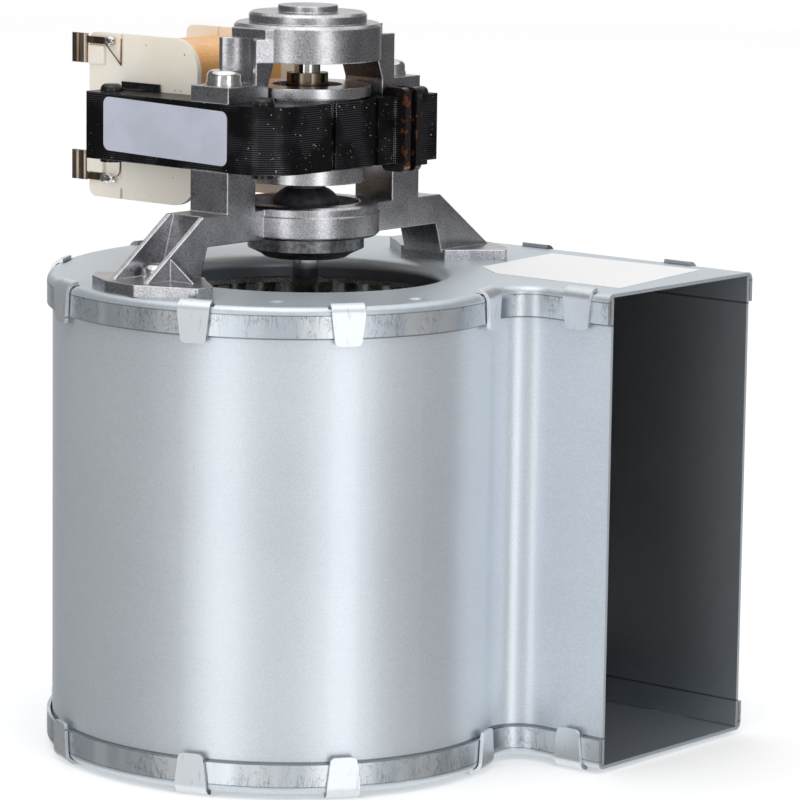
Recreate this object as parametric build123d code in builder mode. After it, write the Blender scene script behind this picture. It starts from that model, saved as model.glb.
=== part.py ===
# Double inlet centrifugal blower with a shaded pole motor on its bracket.
# One millimetre is one unit. The origin is on the shaft axis at the outer face of the
# lower side plate, +Z runs up the shaft, +X is the way the air leaves.
import os
from math import cos, degrees, radians, sin

from build123d import *

os.makedirs("parts", exist_ok=True)

# Housing sheet
SHEET = 0.8
HOUSING_H = 110.0
OUTLET_X = 73.0
NEAR_WALL_Y = 21.5
GROOVE_X = 55.0
GROOVE_R = 7.8
GROOVE_TURN = 116.0
# Radius and sweep of each arc of the scroll, from the tongue round to the far wall
SCROLL_ARCS = [(42.5, 39.25), (51.6, 52.2), (56.4, 70.5), (71.7, 47.1), (65.5, 86.95)]
SKIRT_GAP = 0.5
SKIRT_DEPTH = 6.9
BEND_R = 1.8
INLET_R = 34.3
LIP_R = 3.0
LIP_DEPTH = 5.2

# Locking tabs of the scroll sheet
TAB_W = 7.6
TAB_END_SHARE = 0.78
TAB_CORNER_R = 1.2
TAB_REACH = 8.6
TAB_GAP = 0.12
TAB_ROOT = 0.3
SLIT_W = 8.6
# Which tabs stand on which arc of the scroll, by their share of its sweep
TABS_ON_ARC = [[0.2], [0.41], [0.085, 0.695], [0.32, 0.985], [0.475]]
NEAR_TAB_X = 64.5
FAR_TAB_X = [9.5, 52.5]

# Motor bracket feet and screws
FOOT_X = -3.9
FOOT_Y = -46.0
FOOT_T = 2.7
FOOT_SCREW_D = 4.0
DIMPLES = [(28.1, -41.4), (46.9, -15.6)]
DIMPLE_BALL_R = 3.7
DIMPLE_DEPTH = 0.6

# Heights up the shaft axis: the motor stands on the upper side plate
PLATE_TOP = HOUSING_H
CUP_Z = PLATE_TOP + 4.0
RING_LOW = PLATE_TOP + 9.2
RING_TOP = RING_LOW + 7.6
ARM_TOP = RING_TOP - 0.8
STACK_LOW = ARM_TOP + 9.4
STACK_H = 15.5
STACK_TOP = STACK_LOW + STACK_H
PAD_TOP = STACK_TOP + 3.8
HEAD_LOW = PAD_TOP + 5.0
HEAD_TOP = HEAD_LOW + 8.4
CAP_TOP = HEAD_TOP + 3.9

# Motor plan
STACK_END_X = 15.0
STACK_LEG_X = -43.3
STACK_HALF_W = 29.0
LEG_INNER_Y = 18.0
BORE_R = 13.95
ROTOR_R = 13.6
PAD_X0 = -9.6
PAD_X1 = 1.8
COLUMN_Y = 19.6
LEDGE_Y = 17.8
SCREW_X = -3.9
SCREW_Y = -24.0
SCREW_D = 4.0
SCREW_HOLE_D = 4.4
RING_R = 17.0
SHAFT_R = 3.0
BEARING_CLEAR = 0.03
BEARING_R = 6.4

# Wheel, with the same room under both side plates
WHEEL_R = 43.4
BLADE_DEPTH = 7.8
BLADE_IN_R = WHEEL_R - BLADE_DEPTH
BLADE_T = 0.5
BLADE_COUNT = 36
WHEEL_LOW = 6.0
WHEEL_TOP = HOUSING_H - WHEEL_LOW
DISC_Z = HOUSING_H / 2
DISC_T = 1.0
HUB_R = 8.0
HUB_LOW = DISC_Z - 5.5
HUB_TOP = DISC_Z + 8.0
SHAFT_LOW = HUB_LOW - 3.5
SHAFT_TOP = HEAD_TOP + 1.1


def on_circle(radius, angle):
    return (radius * cos(radians(angle)), radius * sin(radians(angle)))


# Corner points of the scroll's outer line, each with the heading of the sheet there
def scroll_knots():
    heading = 180.0 + GROOVE_TURN
    x, y = on_circle(GROOVE_R, 90.0 + GROOVE_TURN)
    knots = [(GROOVE_X + x, NEAR_WALL_Y - GROOVE_R + y, heading)]
    for radius, sweep in SCROLL_ARCS:
        x, y, heading = knots[-1]
        cx, cy = on_circle(radius, heading - 90)
        ex, ey = on_circle(radius, heading + 90 - sweep)
        knots.append((x + cx + ex, y + cy + ey, heading - sweep))
    return knots


FAR_WALL_Y = scroll_knots()[-1][1]


# The outline of the housing, grown outward by one distance
def outline(grow, mouth_x, level):
    near_y = NEAR_WALL_Y - grow
    far_y = FAR_WALL_Y + grow
    with BuildSketch(Plane.XY.offset(level)) as section:
        with BuildLine():
            Line((mouth_x, near_y), (GROOVE_X, near_y))
            groove_y = NEAR_WALL_Y - GROOVE_R
            last = CenterArc((GROOVE_X, groove_y), GROOVE_R - grow, 90, GROOVE_TURN)
            for radius, sweep in SCROLL_ARCS:
                last = JernArc(last @ 1, last % 1, radius + grow, -sweep)
            Line(last @ 1, (mouth_x, far_y))
            Line((mouth_x, far_y), (mouth_x, near_y))
        make_face()
    return section.sketch


# Tab stations on the scroll's outer line: x, y and the outward direction
def stations():
    places = []
    for (radius, sweep), knot, shares in zip(SCROLL_ARCS, scroll_knots(), TABS_ON_ARC):
        x, y, heading = knot
        cx, cy = on_circle(radius, heading - 90)
        for share in shares:
            now = heading + 90 - sweep * share
            ox, oy = on_circle(radius, now)
            places.append((x + cx + ox, y + cy + oy, now))
    places.append((NEAR_TAB_X, NEAR_WALL_Y, -90.0))
    for x in FAR_TAB_X:
        places.append((x, FAR_WALL_Y, 90.0))
    return places


def station_plane(x, y, heading, level):
    out = (cos(radians(heading)), sin(radians(heading)), 0)
    side = (sin(radians(heading)), -cos(radians(heading)), 0)
    return Plane(origin=(x, y, level), x_dir=out, z_dir=side)


SKIRT_IN = SKIRT_GAP
SKIRT_OUT = SKIRT_GAP + SHEET
# The scroll sheet's edge stops where the rolled rim begins to close over it
EDGE_REST = 0.02
WRAP_EDGE = BEND_R - ((BEND_R - SHEET) ** 2 - (BEND_R - SKIRT_OUT) ** 2) ** 0.5 + EDGE_REST


# The space under a side plate, as deep as its skirt and open away from the sheet
def skirt_space(level, sign):
    with BuildPart() as space:
        with BuildSketch(Plane.XY.offset(level - sign * (SKIRT_DEPTH + 1))):
            add(outline(SKIRT_IN, OUTLET_X + 4, 0))
        extrude(amount=sign * (SKIRT_DEPTH + 1 - SHEET))
        ceiling = space.faces().sort_by(Axis.Z)[-1 if sign > 0 else 0]
        bends = ceiling.edges().filter_by(lambda e: e.center().X < OUTLET_X + 3)
        fillet(bends, BEND_R - SHEET)
    return space.part


# One side plate: flat sheet, rolled rim, skirt, inlet lip and slits, its outer face at level
def side_plate(level, sign, holes, dimples):
    under_sheet = skirt_space(level, sign)
    with BuildPart() as plate:
        with BuildSketch(Plane.XY.offset(level - sign * SKIRT_DEPTH)):
            add(outline(SKIRT_OUT, OUTLET_X, 0))
        extrude(amount=sign * SKIRT_DEPTH)
        top = plate.faces().sort_by(Axis.Z)[-1 if sign > 0 else 0]
        rim = top.edges().filter_by(lambda e: e.center().X < OUTLET_X - 0.5)
        fillet(rim, BEND_R)
        add(under_sheet, mode=Mode.SUBTRACT)
        with BuildSketch(Plane.XY.offset(level - sign * 3)):
            Circle(INLET_R)
            for x, y in holes:
                with Locations((x, y)):
                    Circle(FOOT_SCREW_D / 2)
        extrude(amount=sign * 6, mode=Mode.SUBTRACT)
        for x, y in dimples:
            with Locations((x, y, level + sign * (DIMPLE_BALL_R - DIMPLE_DEPTH))):
                Sphere(DIMPLE_BALL_R, mode=Mode.SUBTRACT)
        with BuildSketch(Plane.XZ):
            with BuildLine():
                top_z = level
                mid_z = level - sign * LIP_R
                low_z = level - sign * LIP_DEPTH
                throat = INLET_R - LIP_R
                inner = LIP_R - SHEET
                bend_a = 45.0
                Line((INLET_R + 0.4, top_z), (INLET_R, top_z))
                ThreePointArc(
                    (INLET_R, top_z),
                    (
                        INLET_R - LIP_R * sin(radians(bend_a)),
                        mid_z + sign * LIP_R * cos(radians(bend_a)),
                    ),
                    (throat, mid_z),
                )
                Line((throat, mid_z), (throat, low_z))
                Line((throat, low_z), (throat + SHEET, low_z))
                Line((throat + SHEET, low_z), (throat + SHEET, mid_z))
                ThreePointArc(
                    (throat + SHEET, mid_z),
                    (
                        INLET_R - inner * sin(radians(bend_a)),
                        mid_z + sign * inner * cos(radians(bend_a)),
                    ),
                    (INLET_R, mid_z + sign * inner),
                )
                Line((INLET_R, mid_z + sign * inner), (INLET_R + 0.4, top_z - sign * SHEET))
                Line((INLET_R + 0.4, top_z - sign * SHEET), (INLET_R + 0.4, top_z))
            make_face()
        revolve(axis=Axis.Z)
        for x, y, heading in stations():
            cut = station_plane(x, y, heading, level - sign * 1.5)
            with BuildSketch(cut.offset(-SLIT_W / 2)):
                with Locations((-0.3, sign * 1.2)):
                    Rectangle(1.8, 4.6)
            extrude(amount=SLIT_W, mode=Mode.SUBTRACT)
    return plate


# Scroll wrap with its folded tabs
with BuildPart() as scroll_wrap:
    with BuildSketch(Plane.XY.offset(WRAP_EDGE)):
        add(outline(0, OUTLET_X, 0))
    extrude(amount=HOUSING_H - 2 * WRAP_EDGE)
    with BuildSketch(Plane.XY.offset(0)):
        add(outline(-SHEET, OUTLET_X + 4, 0))
    extrude(amount=HOUSING_H, mode=Mode.SUBTRACT)
    for sign in (1, -1):
        level = HOUSING_H if sign > 0 else 0.0
        bend_u = SKIRT_OUT - BEND_R
        bend_v = -sign * BEND_R
        roll_in = BEND_R + TAB_GAP
        roll_out = roll_in + SHEET
        root_v = -sign * (WRAP_EDGE + TAB_ROOT)
        crown_in = (0.0, bend_v + sign * (roll_in**2 - bend_u**2) ** 0.5)
        crown_out = (-SHEET, bend_v + sign * (roll_out**2 - (SHEET + bend_u) ** 2) ** 0.5)
        side_u, side_v = on_circle(roll_out, 40)
        inner_u, inner_v = on_circle(roll_in, 35)
        face_u = bend_u + roll_in
        for x, y, heading in stations():
            plane = station_plane(x, y, heading, level)
            # The roll over the rim
            with BuildSketch(plane.offset(-TAB_W / 2)):
                with BuildLine():
                    Line((0.0, root_v), (-SHEET, root_v))
                    Line((-SHEET, root_v), crown_out)
                    shoulder = (bend_u + side_u, bend_v + sign * side_v)
                    ThreePointArc(crown_out, shoulder, (face_u + SHEET, bend_v))
                    Line((face_u + SHEET, bend_v), (face_u, bend_v))
                    inner_shoulder = (bend_u + inner_u, bend_v + sign * inner_v)
                    ThreePointArc((face_u, bend_v), inner_shoulder, crown_in)
                    Line(crown_in, (0.0, root_v))
                make_face()
            extrude(amount=TAB_W)
            # The tongue that lies on the skirt, narrower towards its rounded end
            out = Vector(cos(radians(heading)), sin(radians(heading)), 0)
            along = Vector(-out.Y, out.X, 0)
            corner = Vector(x, y, level) + out * face_u
            with BuildSketch(Plane(origin=corner, x_dir=along, z_dir=out)) as tongue:
                root_w = TAB_W / 2
                end_w = root_w * TAB_END_SHARE
                end_v = -sign * TAB_REACH
                with BuildLine():
                    Polyline(
                        (-root_w, bend_v),
                        (root_w, bend_v),
                        (end_w, end_v),
                        (-end_w, end_v),
                        close=True,
                    )
                make_face()
                ends = tongue.vertices().sort_by(Axis.Y)
                fillet(ends[:2] if sign > 0 else ends[2:], TAB_CORNER_R)
            extrude(amount=SHEET)
scroll_wrap.part.label = "scroll_wrap"
export_step(scroll_wrap.part, "parts/scroll_wrap.step")

# Upper side plate, with the bracket screw holes and two pressed dimples
foot_holes = [(FOOT_X, FOOT_Y), (-FOOT_X, -FOOT_Y)]
top_side_plate = side_plate(HOUSING_H, 1, foot_holes, DIMPLES)
top_side_plate.part.label = "top_side_plate"
export_step(top_side_plate.part, "parts/top_side_plate.step")

# Lower side plate, the second inlet
bottom_side_plate = side_plate(0.0, -1, [], [])
bottom_side_plate.part.label = "bottom_side_plate"
export_step(bottom_side_plate.part, "parts/bottom_side_plate.step")

# Lower bracket: bearing ring, two arms with stack posts, ribbed feet on the side plate
RING_RECESS_R = 12.4
RING_RECESS_T = 2.4
RING_EASE = 0.6
RING_STEP = 0.4
RING_STEP_H = 2.3
WALL_TOP_Y = -33.5
WALL_LOW_Y = -38.6
WALL_T = 2.4
RIB_T = 1.3
RIB_TOP_Y = -37.0
RIB_LOW_Y = -55.2
FOOT_OUTLINE = [
    (-21.0, -48.6),
    (-17.2, -53.2),
    (-9.0, -57.6),
    (0.5, -58.6),
    (14.6, -52.9),
    (15.4, -48.4),
    (7.8, -42.4),
    (3.0, -38.0),
    (-10.6, -38.0),
    (-14.5, -42.6),
]
GUSSET_Y = -47.0
GUSSET_REACH = 7.0
GUSSET_RISE = 4.9
GUSSET_T = 1.6
ARM_END_Y = 36.2
ARM_IN_Y = 12.9
with BuildPart() as foot:
    with BuildSketch(Plane.XY.offset(PLATE_TOP)):
        with BuildLine():
            Polyline(*FOOT_OUTLINE, close=True)
        make_face()
    extrude(amount=FOOT_T)
    corners = foot.edges().filter_by(Axis.Z).filter_by(lambda e: e.center().Y < -42)
    fillet(corners, 1.2)
    with BuildSketch(Plane.YZ.offset(PAD_X0)):
        with BuildLine():
            Polyline(
                (WALL_LOW_Y, PLATE_TOP),
                (WALL_LOW_Y - WALL_T, PLATE_TOP),
                (WALL_TOP_Y - WALL_T, ARM_TOP),
                (WALL_TOP_Y, ARM_TOP),
                close=True,
            )
        make_face()
    extrude(amount=PAD_X1 - PAD_X0)
    for x in (PAD_X0, PAD_X1 - RIB_T):
        with BuildSketch(Plane.YZ.offset(x)):
            with BuildLine():
                Polyline(
                    (WALL_LOW_Y, PLATE_TOP),
                    (RIB_LOW_Y, PLATE_TOP),
                    (RIB_LOW_Y, PLATE_TOP + FOOT_T + 0.1),
                    (RIB_TOP_Y, ARM_TOP),
                    (WALL_TOP_Y, ARM_TOP),
                    close=True,
                )
            make_face()
        extrude(amount=RIB_T)
    gusset_root_x = PAD_X1 - RIB_T / 2
    gusset_peak = PLATE_TOP + FOOT_T + GUSSET_RISE
    with BuildSketch(Plane.XZ.offset(-GUSSET_Y - GUSSET_T / 2)):
        with BuildLine():
            Polyline(
                (gusset_root_x, PLATE_TOP + FOOT_T / 2),
                (PAD_X1 + GUSSET_REACH, PLATE_TOP + FOOT_T / 2),
                (PAD_X1 + GUSSET_REACH, PLATE_TOP + FOOT_T),
                (PAD_X1, gusset_peak),
                (gusset_root_x, gusset_peak),
                close=True,
            )
        make_face()
    extrude(amount=GUSSET_T)
    with BuildSketch(Plane.XY.offset(RING_LOW)):
        with Locations(((PAD_X0 + PAD_X1) / 2, -(ARM_END_Y + ARM_IN_Y) / 2)):
            Rectangle(PAD_X1 - PAD_X0, ARM_END_Y - ARM_IN_Y)
    extrude(amount=ARM_TOP - RING_LOW)
    with BuildSketch(Plane.XY.offset(ARM_TOP)):
        with Locations(((PAD_X0 + PAD_X1) / 2, -(STACK_HALF_W + COLUMN_Y) / 2)):
            Rectangle(PAD_X1 - PAD_X0, STACK_HALF_W - COLUMN_Y)
    extrude(amount=STACK_LOW - ARM_TOP)
    with BuildSketch(Plane.XY.offset(PLATE_TOP)):
        with Locations((FOOT_X, FOOT_Y)):
            Circle(FOOT_SCREW_D / 2 + 0.2)
    extrude(amount=FOOT_T, mode=Mode.SUBTRACT)
    with BuildSketch(Plane.XY.offset(ARM_TOP - 4)):
        with Locations((SCREW_X, SCREW_Y)):
            Circle(SCREW_D / 2)
    extrude(amount=STACK_LOW - ARM_TOP + 4, mode=Mode.SUBTRACT)

with BuildPart() as lower_bracket:
    add(foot.part)
    add(foot.part.rotate(Axis.Z, 180))
    with BuildSketch(Plane.XZ):
        with BuildLine():
            Polyline(
                (BEARING_R, RING_LOW),
                (RING_R - RING_EASE, RING_LOW),
                (RING_R, RING_LOW + RING_EASE),
                (RING_R, RING_TOP - RING_STEP_H),
                (RING_R - RING_STEP, RING_TOP - RING_STEP_H),
                (RING_R - RING_STEP, RING_TOP - RING_EASE),
                (RING_R - RING_STEP - RING_EASE, RING_TOP),
                (RING_RECESS_R, RING_TOP),
                (RING_RECESS_R, RING_TOP - RING_RECESS_T),
                (BEARING_R, RING_TOP - RING_RECESS_T),
                close=True,
            )
        make_face()
    revolve(axis=Axis.Z)
lower_bracket.part.label = "lower_bracket"
export_step(lower_bracket.part, "parts/lower_bracket.step")

# Foot screws through the flanges into the side plate
FOOT_HEAD_R = 3.5
FOOT_HEAD_H = 3.2
FOOT_HEAD_DOME = 2.0
FOOT_SHANK_L = 7.0
with BuildPart() as foot_screws:
    for turn in (0, 180):
        spot = Plane.XY.offset(PLATE_TOP + FOOT_T).rotated((0, 0, turn))
        with BuildSketch(spot):
            with Locations((FOOT_X, FOOT_Y)):
                Circle(FOOT_HEAD_R)
        extrude(amount=FOOT_HEAD_H)
        with BuildSketch(spot):
            with Locations((FOOT_X, FOOT_Y)):
                Circle(FOOT_SCREW_D / 2)
        extrude(amount=-FOOT_SHANK_L)
    crowns = foot_screws.edges().filter_by(GeomType.CIRCLE)
    crowns = crowns.filter_by(lambda e: e.center().Z > PLATE_TOP + FOOT_T + 1)
    fillet(crowns, FOOT_HEAD_DOME)
foot_screws.part.label = "foot_screws"
export_step(foot_screws.part, "parts/foot_screws.step")

# Stamped cup that closes the lower bearing
CUP_R = 13.5
CUP_T = 0.8
CUP_STEP_R = 9.6
CUP_HOLE_R = 3.8
with BuildPart() as bearing_cup:
    with BuildSketch(Plane.XZ):
        with BuildLine():
            Polyline(
                (CUP_HOLE_R, CUP_Z),
                (CUP_STEP_R, CUP_Z),
                (CUP_STEP_R + 1.3, CUP_Z + 0.9),
                (CUP_R, CUP_Z + 2.1),
                (CUP_R, RING_LOW),
                (CUP_R - CUP_T, RING_LOW),
                (CUP_R - CUP_T, CUP_Z + 2.1 + 0.5),
                (CUP_STEP_R + 0.7, CUP_Z + 0.9 + 0.6),
                (CUP_STEP_R - 0.5, CUP_Z + CUP_T),
                (CUP_HOLE_R, CUP_Z + CUP_T),
                close=True,
            )
        make_face()
    revolve(axis=Axis.Z)
bearing_cup.part.label = "bearing_cup"
export_step(bearing_cup.part, "parts/bearing_cup.step")

# Sintered bearings
LOWER_BEARING_Z = RING_LOW - 2.6
LOWER_BEARING_H = 7.8
UPPER_BEARING_Z = HEAD_LOW - 0.8
UPPER_BEARING_H = 8.4
with BuildPart() as lower_bearing:
    with BuildSketch(Plane.XY.offset(LOWER_BEARING_Z)):
        Circle(BEARING_R)
        Circle(SHAFT_R + BEARING_CLEAR, mode=Mode.SUBTRACT)
    extrude(amount=LOWER_BEARING_H)
lower_bearing.part.label = "lower_bearing"
export_step(lower_bearing.part, "parts/lower_bearing.step")
with BuildPart() as upper_bearing:
    with BuildSketch(Plane.XY.offset(UPPER_BEARING_Z)):
        Circle(BEARING_R)
        Circle(SHAFT_R + BEARING_CLEAR, mode=Mode.SUBTRACT)
    extrude(amount=UPPER_BEARING_H)
upper_bearing.part.label = "upper_bearing"
export_step(upper_bearing.part, "parts/upper_bearing.step")

# Spring retainers pressed round the bearings
RETAINER_R = 12.2
RETAINER_T = 0.6
RETAINER_TEETH = 8
RETAINER_SLOT_L = 3.6
RETAINER_SLOT_W = 0.9
LOWER_RETAINER_Z = RING_LOW - RETAINER_T
UPPER_RETAINER_Z = HEAD_LOW + 1.0
with BuildPart() as lower_retainer:
    with BuildSketch(Plane.XY.offset(LOWER_RETAINER_Z)):
        Circle(RETAINER_R)
        Circle(BEARING_R, mode=Mode.SUBTRACT)
        with PolarLocations(BEARING_R, RETAINER_TEETH):
            Rectangle(RETAINER_SLOT_L, RETAINER_SLOT_W, mode=Mode.SUBTRACT)
    extrude(amount=RETAINER_T)
lower_retainer.part.label = "lower_retainer"
export_step(lower_retainer.part, "parts/lower_retainer.step")
with BuildPart() as upper_retainer:
    with BuildSketch(Plane.XY.offset(UPPER_RETAINER_Z)):
        Circle(RETAINER_R)
        Circle(BEARING_R, mode=Mode.SUBTRACT)
        with PolarLocations(BEARING_R, RETAINER_TEETH):
            Rectangle(RETAINER_SLOT_L, RETAINER_SLOT_W, mode=Mode.SUBTRACT)
    extrude(amount=RETAINER_T)
upper_retainer.part.label = "upper_retainer"
export_step(upper_retainer.part, "parts/upper_retainer.step")

# Upper bracket: blind bearing head on two screwed columns
MID_R = 13.6
MID_TOP = HEAD_TOP + 2.4
CAP_R = 6.9
COLUMN_TOP = HEAD_TOP - 3.1
LEDGE_TOP = HEAD_TOP - 0.8
LEDGE_X0 = -7.4
LEDGE_X1 = 3.0
FLARE_X = 4.2
FLARE_Y = -16.45
WEB_IN_Y = -9.0
RECESS_R = 5.4
RECESS_Y = -22.4
PAD_IN_Y = 15.5
WEB_LOW_Y = 13.6
RETAINER_CLEAR = 0.3
HEAD_ROOM = 0.6
with BuildPart() as column:
    with BuildSketch(Plane.XY.offset(STACK_TOP)):
        with Locations(((PAD_X0 + PAD_X1) / 2, -(STACK_HALF_W + PAD_IN_Y) / 2)):
            Rectangle(PAD_X1 - PAD_X0, STACK_HALF_W - PAD_IN_Y)
    extrude(amount=PAD_TOP - STACK_TOP)
    with BuildSketch(Plane.YZ.offset(PAD_X0)):
        with BuildLine():
            Polyline(
                (-COLUMN_Y, PAD_TOP),
                (-COLUMN_Y, HEAD_LOW),
                (-WEB_LOW_Y, HEAD_LOW),
                (-PAD_IN_Y, PAD_TOP),
                close=True,
            )
        make_face()
    extrude(amount=PAD_X1 - PAD_X0)
    # The web that flares into the bearing head, and the ledge on it
    with BuildSketch(Plane.XY.offset(HEAD_LOW)):
        with BuildLine():
            Polyline(
                (PAD_X0, -COLUMN_Y),
                (PAD_X1, -COLUMN_Y),
                (FLARE_X, FLARE_Y),
                (FLARE_X, WEB_IN_Y),
                (PAD_X0, WEB_IN_Y),
                close=True,
            )
        make_face()
    extrude(amount=COLUMN_TOP - HEAD_LOW)
    with BuildSketch(Plane.XY.offset(COLUMN_TOP)):
        with BuildLine():
            Polyline(
                (LEDGE_X0, -LEDGE_Y),
                (LEDGE_X1, -LEDGE_Y),
                (FLARE_X, FLARE_Y),
                (FLARE_X, WEB_IN_Y),
                (LEDGE_X0, WEB_IN_Y),
                close=True,
            )
        make_face()
    extrude(amount=LEDGE_TOP - COLUMN_TOP)
    with BuildSketch(Plane.XY.offset(PAD_TOP)):
        with Locations((SCREW_X, RECESS_Y)):
            Circle(RECESS_R)
    extrude(amount=COLUMN_TOP - PAD_TOP, mode=Mode.SUBTRACT)
    with BuildSketch(Plane.XY.offset(STACK_TOP - 1)):
        with Locations((SCREW_X, SCREW_Y)):
            Circle(SCREW_HOLE_D / 2)
    extrude(amount=10, mode=Mode.SUBTRACT)

with BuildPart() as upper_bracket:
    add(column.part)
    add(column.part.rotate(Axis.Z, 180))
    with BuildSketch(Plane.XZ):
        with BuildLine():
            Polyline(
                (0, HEAD_LOW),
                (RING_R, HEAD_LOW),
                (RING_R, HEAD_TOP - 0.7),
                (RING_R - 0.7, HEAD_TOP),
                (MID_R, HEAD_TOP),
                (MID_R, MID_TOP - 0.6),
                (MID_R - 0.6, MID_TOP),
                (CAP_R, MID_TOP),
                (CAP_R, CAP_TOP),
                (0, CAP_TOP),
                close=True,
            )
        make_face()
    revolve(axis=Axis.Z)
    with BuildSketch(Plane.XY.offset(HEAD_LOW)):
        Circle(RETAINER_R + RETAINER_CLEAR)
    extrude(amount=UPPER_RETAINER_Z + RETAINER_T - HEAD_LOW, mode=Mode.SUBTRACT)
    with BuildSketch(Plane.XY.offset(HEAD_LOW)):
        Circle(BEARING_R)
    extrude(amount=SHAFT_TOP + HEAD_ROOM - HEAD_LOW, mode=Mode.SUBTRACT)
upper_bracket.part.label = "upper_bracket"
export_step(upper_bracket.part, "parts/upper_bracket.step")

# Stack screws with their washers
WASHER_R = 4.3
WASHER_T = 0.9
HEAD_R = 4.1
HEAD_H = 2.6
HEAD_DOME = 1.5
SCREW_BITE = 3.0
with BuildPart() as stack_washers:
    for turn in (0, 180):
        spot = Plane.XY.offset(PAD_TOP).rotated((0, 0, turn))
        with BuildSketch(spot):
            with Locations((SCREW_X, SCREW_Y)):
                Circle(WASHER_R)
                Circle(SCREW_HOLE_D / 2, mode=Mode.SUBTRACT)
        extrude(amount=WASHER_T)
stack_washers.part.label = "stack_washers"
export_step(stack_washers.part, "parts/stack_washers.step")
with BuildPart() as stack_screws:
    for turn in (0, 180):
        spot = Plane.XY.offset(PAD_TOP + WASHER_T).rotated((0, 0, turn))
        with BuildSketch(spot):
            with Locations((SCREW_X, SCREW_Y)):
                Circle(HEAD_R)
        extrude(amount=HEAD_H)
        with BuildSketch(spot):
            with Locations((SCREW_X, SCREW_Y)):
                Circle(SCREW_D / 2)
        extrude(amount=-(PAD_TOP + WASHER_T - ARM_TOP + SCREW_BITE))
    crowns = stack_screws.edges().filter_by(GeomType.CIRCLE)
    crowns = crowns.filter_by(lambda e: e.center().Z > PAD_TOP + WASHER_T + 1)
    fillet(crowns, HEAD_DOME)
stack_screws.part.label = "stack_screws"
export_step(stack_screws.part, "parts/stack_screws.step")

# Stator stack: a C of laminations round the rotor, one block
RIVET_SPOTS = [(-39.5, -23.8), (7.8, -23.8), (-39.5, 23.8), (12.35, 24.8)]
RIVET_R = 1.6
RIVET_HEAD_R = 2.6
RIVET_HEAD_H = 1.7
RIVET_FOOT_H = 1.0
RIVET_DOME = 1.4
RING_SLOT_X = 11.0
RING_YS = (16.1, 20.1)
RING_W = 2.0
RING_FIT = 0.1
END_STEP = 0.5
CORNER_R = 10.0
LEG_CORNER_R = 1.2
CORE_X0 = -42.0
CORE_X1 = -31.0
WINDOW_X = -16.6
with BuildPart() as stator_stack:
    with BuildSketch(Plane.XY.offset(STACK_LOW)) as stack_plan:
        with BuildLine():
            Polyline(
                (STACK_LEG_X, -STACK_HALF_W),
                (STACK_END_X, -STACK_HALF_W),
                (STACK_END_X, -8.6),
                (STACK_END_X - 2 * END_STEP, -8.6),
                (STACK_END_X - 2 * END_STEP, -7.0),
                (STACK_END_X, -7.0),
                (STACK_END_X, 5.8),
                (STACK_END_X - 2 * END_STEP, 5.8),
                (STACK_END_X - 2 * END_STEP, 8.4),
                (STACK_END_X - END_STEP, 8.4),
                (STACK_END_X - END_STEP, 14.0),
                (STACK_END_X, 14.0),
                (STACK_END_X, STACK_HALF_W),
                (STACK_LEG_X, STACK_HALF_W),
                (STACK_LEG_X, LEG_INNER_Y),
                (WINDOW_X, LEG_INNER_Y),
                (WINDOW_X, -LEG_INNER_Y),
                (STACK_LEG_X, -LEG_INNER_Y),
                close=True,
            )
        make_face()
        Circle(BORE_R, mode=Mode.SUBTRACT)
        with Locations((SCREW_X, SCREW_Y), (-SCREW_X, -SCREW_Y)):
            Circle(SCREW_HOLE_D / 2, mode=Mode.SUBTRACT)
        with Locations(*RIVET_SPOTS):
            Circle(RIVET_R, mode=Mode.SUBTRACT)
        for y in RING_YS:
            with Locations((RING_SLOT_X, y)):
                Rectangle(RING_W + 2 * RING_FIT, RING_W + 2 * RING_FIT, mode=Mode.SUBTRACT)
        near_corner = stack_plan.vertices().sort_by_distance((STACK_END_X, -STACK_HALF_W))[0]
        fillet(near_corner, CORNER_R)
        ends = stack_plan.vertices().filter_by(
            lambda v: abs(v.Y) > LEG_INNER_Y + 1 and v.X < STACK_LEG_X + 1
        )
        fillet(ends, LEG_CORNER_R)
    extrude(amount=STACK_TOP - STACK_LOW)
stator_stack.part.label = "stator_stack"
export_step(stator_stack.part, "parts/stator_stack.step")

# Rivets of the stack
with BuildPart() as stack_rivets:
    with BuildSketch(Plane.XY.offset(STACK_LOW)):
        with Locations(*RIVET_SPOTS):
            Circle(RIVET_R)
    extrude(amount=STACK_TOP - STACK_LOW)
    with BuildSketch(Plane.XY.offset(STACK_TOP)):
        with Locations(*RIVET_SPOTS):
            Circle(RIVET_HEAD_R)
    extrude(amount=RIVET_HEAD_H)
    with BuildSketch(Plane.XY.offset(STACK_LOW)):
        with Locations(*RIVET_SPOTS):
            Circle(RIVET_HEAD_R)
    extrude(amount=-RIVET_FOOT_H)
    crowns = stack_rivets.edges().filter_by(GeomType.CIRCLE)
    crowns = crowns.filter_by(lambda e: e.center().Z > STACK_TOP + RIVET_HEAD_H / 2)
    fillet(crowns, RIVET_DOME)
stack_rivets.part.label = "stack_rivets"
export_step(stack_rivets.part, "parts/stack_rivets.step")

# Core bar across the legs, with the coil on it
with BuildPart() as core_bar:
    with BuildSketch(Plane.XY.offset(STACK_LOW)):
        with Locations(((CORE_X0 + CORE_X1) / 2, 0)):
            Rectangle(CORE_X1 - CORE_X0, 2 * LEG_INNER_Y)
    extrude(amount=STACK_TOP - STACK_LOW)
core_bar.part.label = "core_bar"
export_step(core_bar.part, "parts/core_bar.step")

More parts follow.
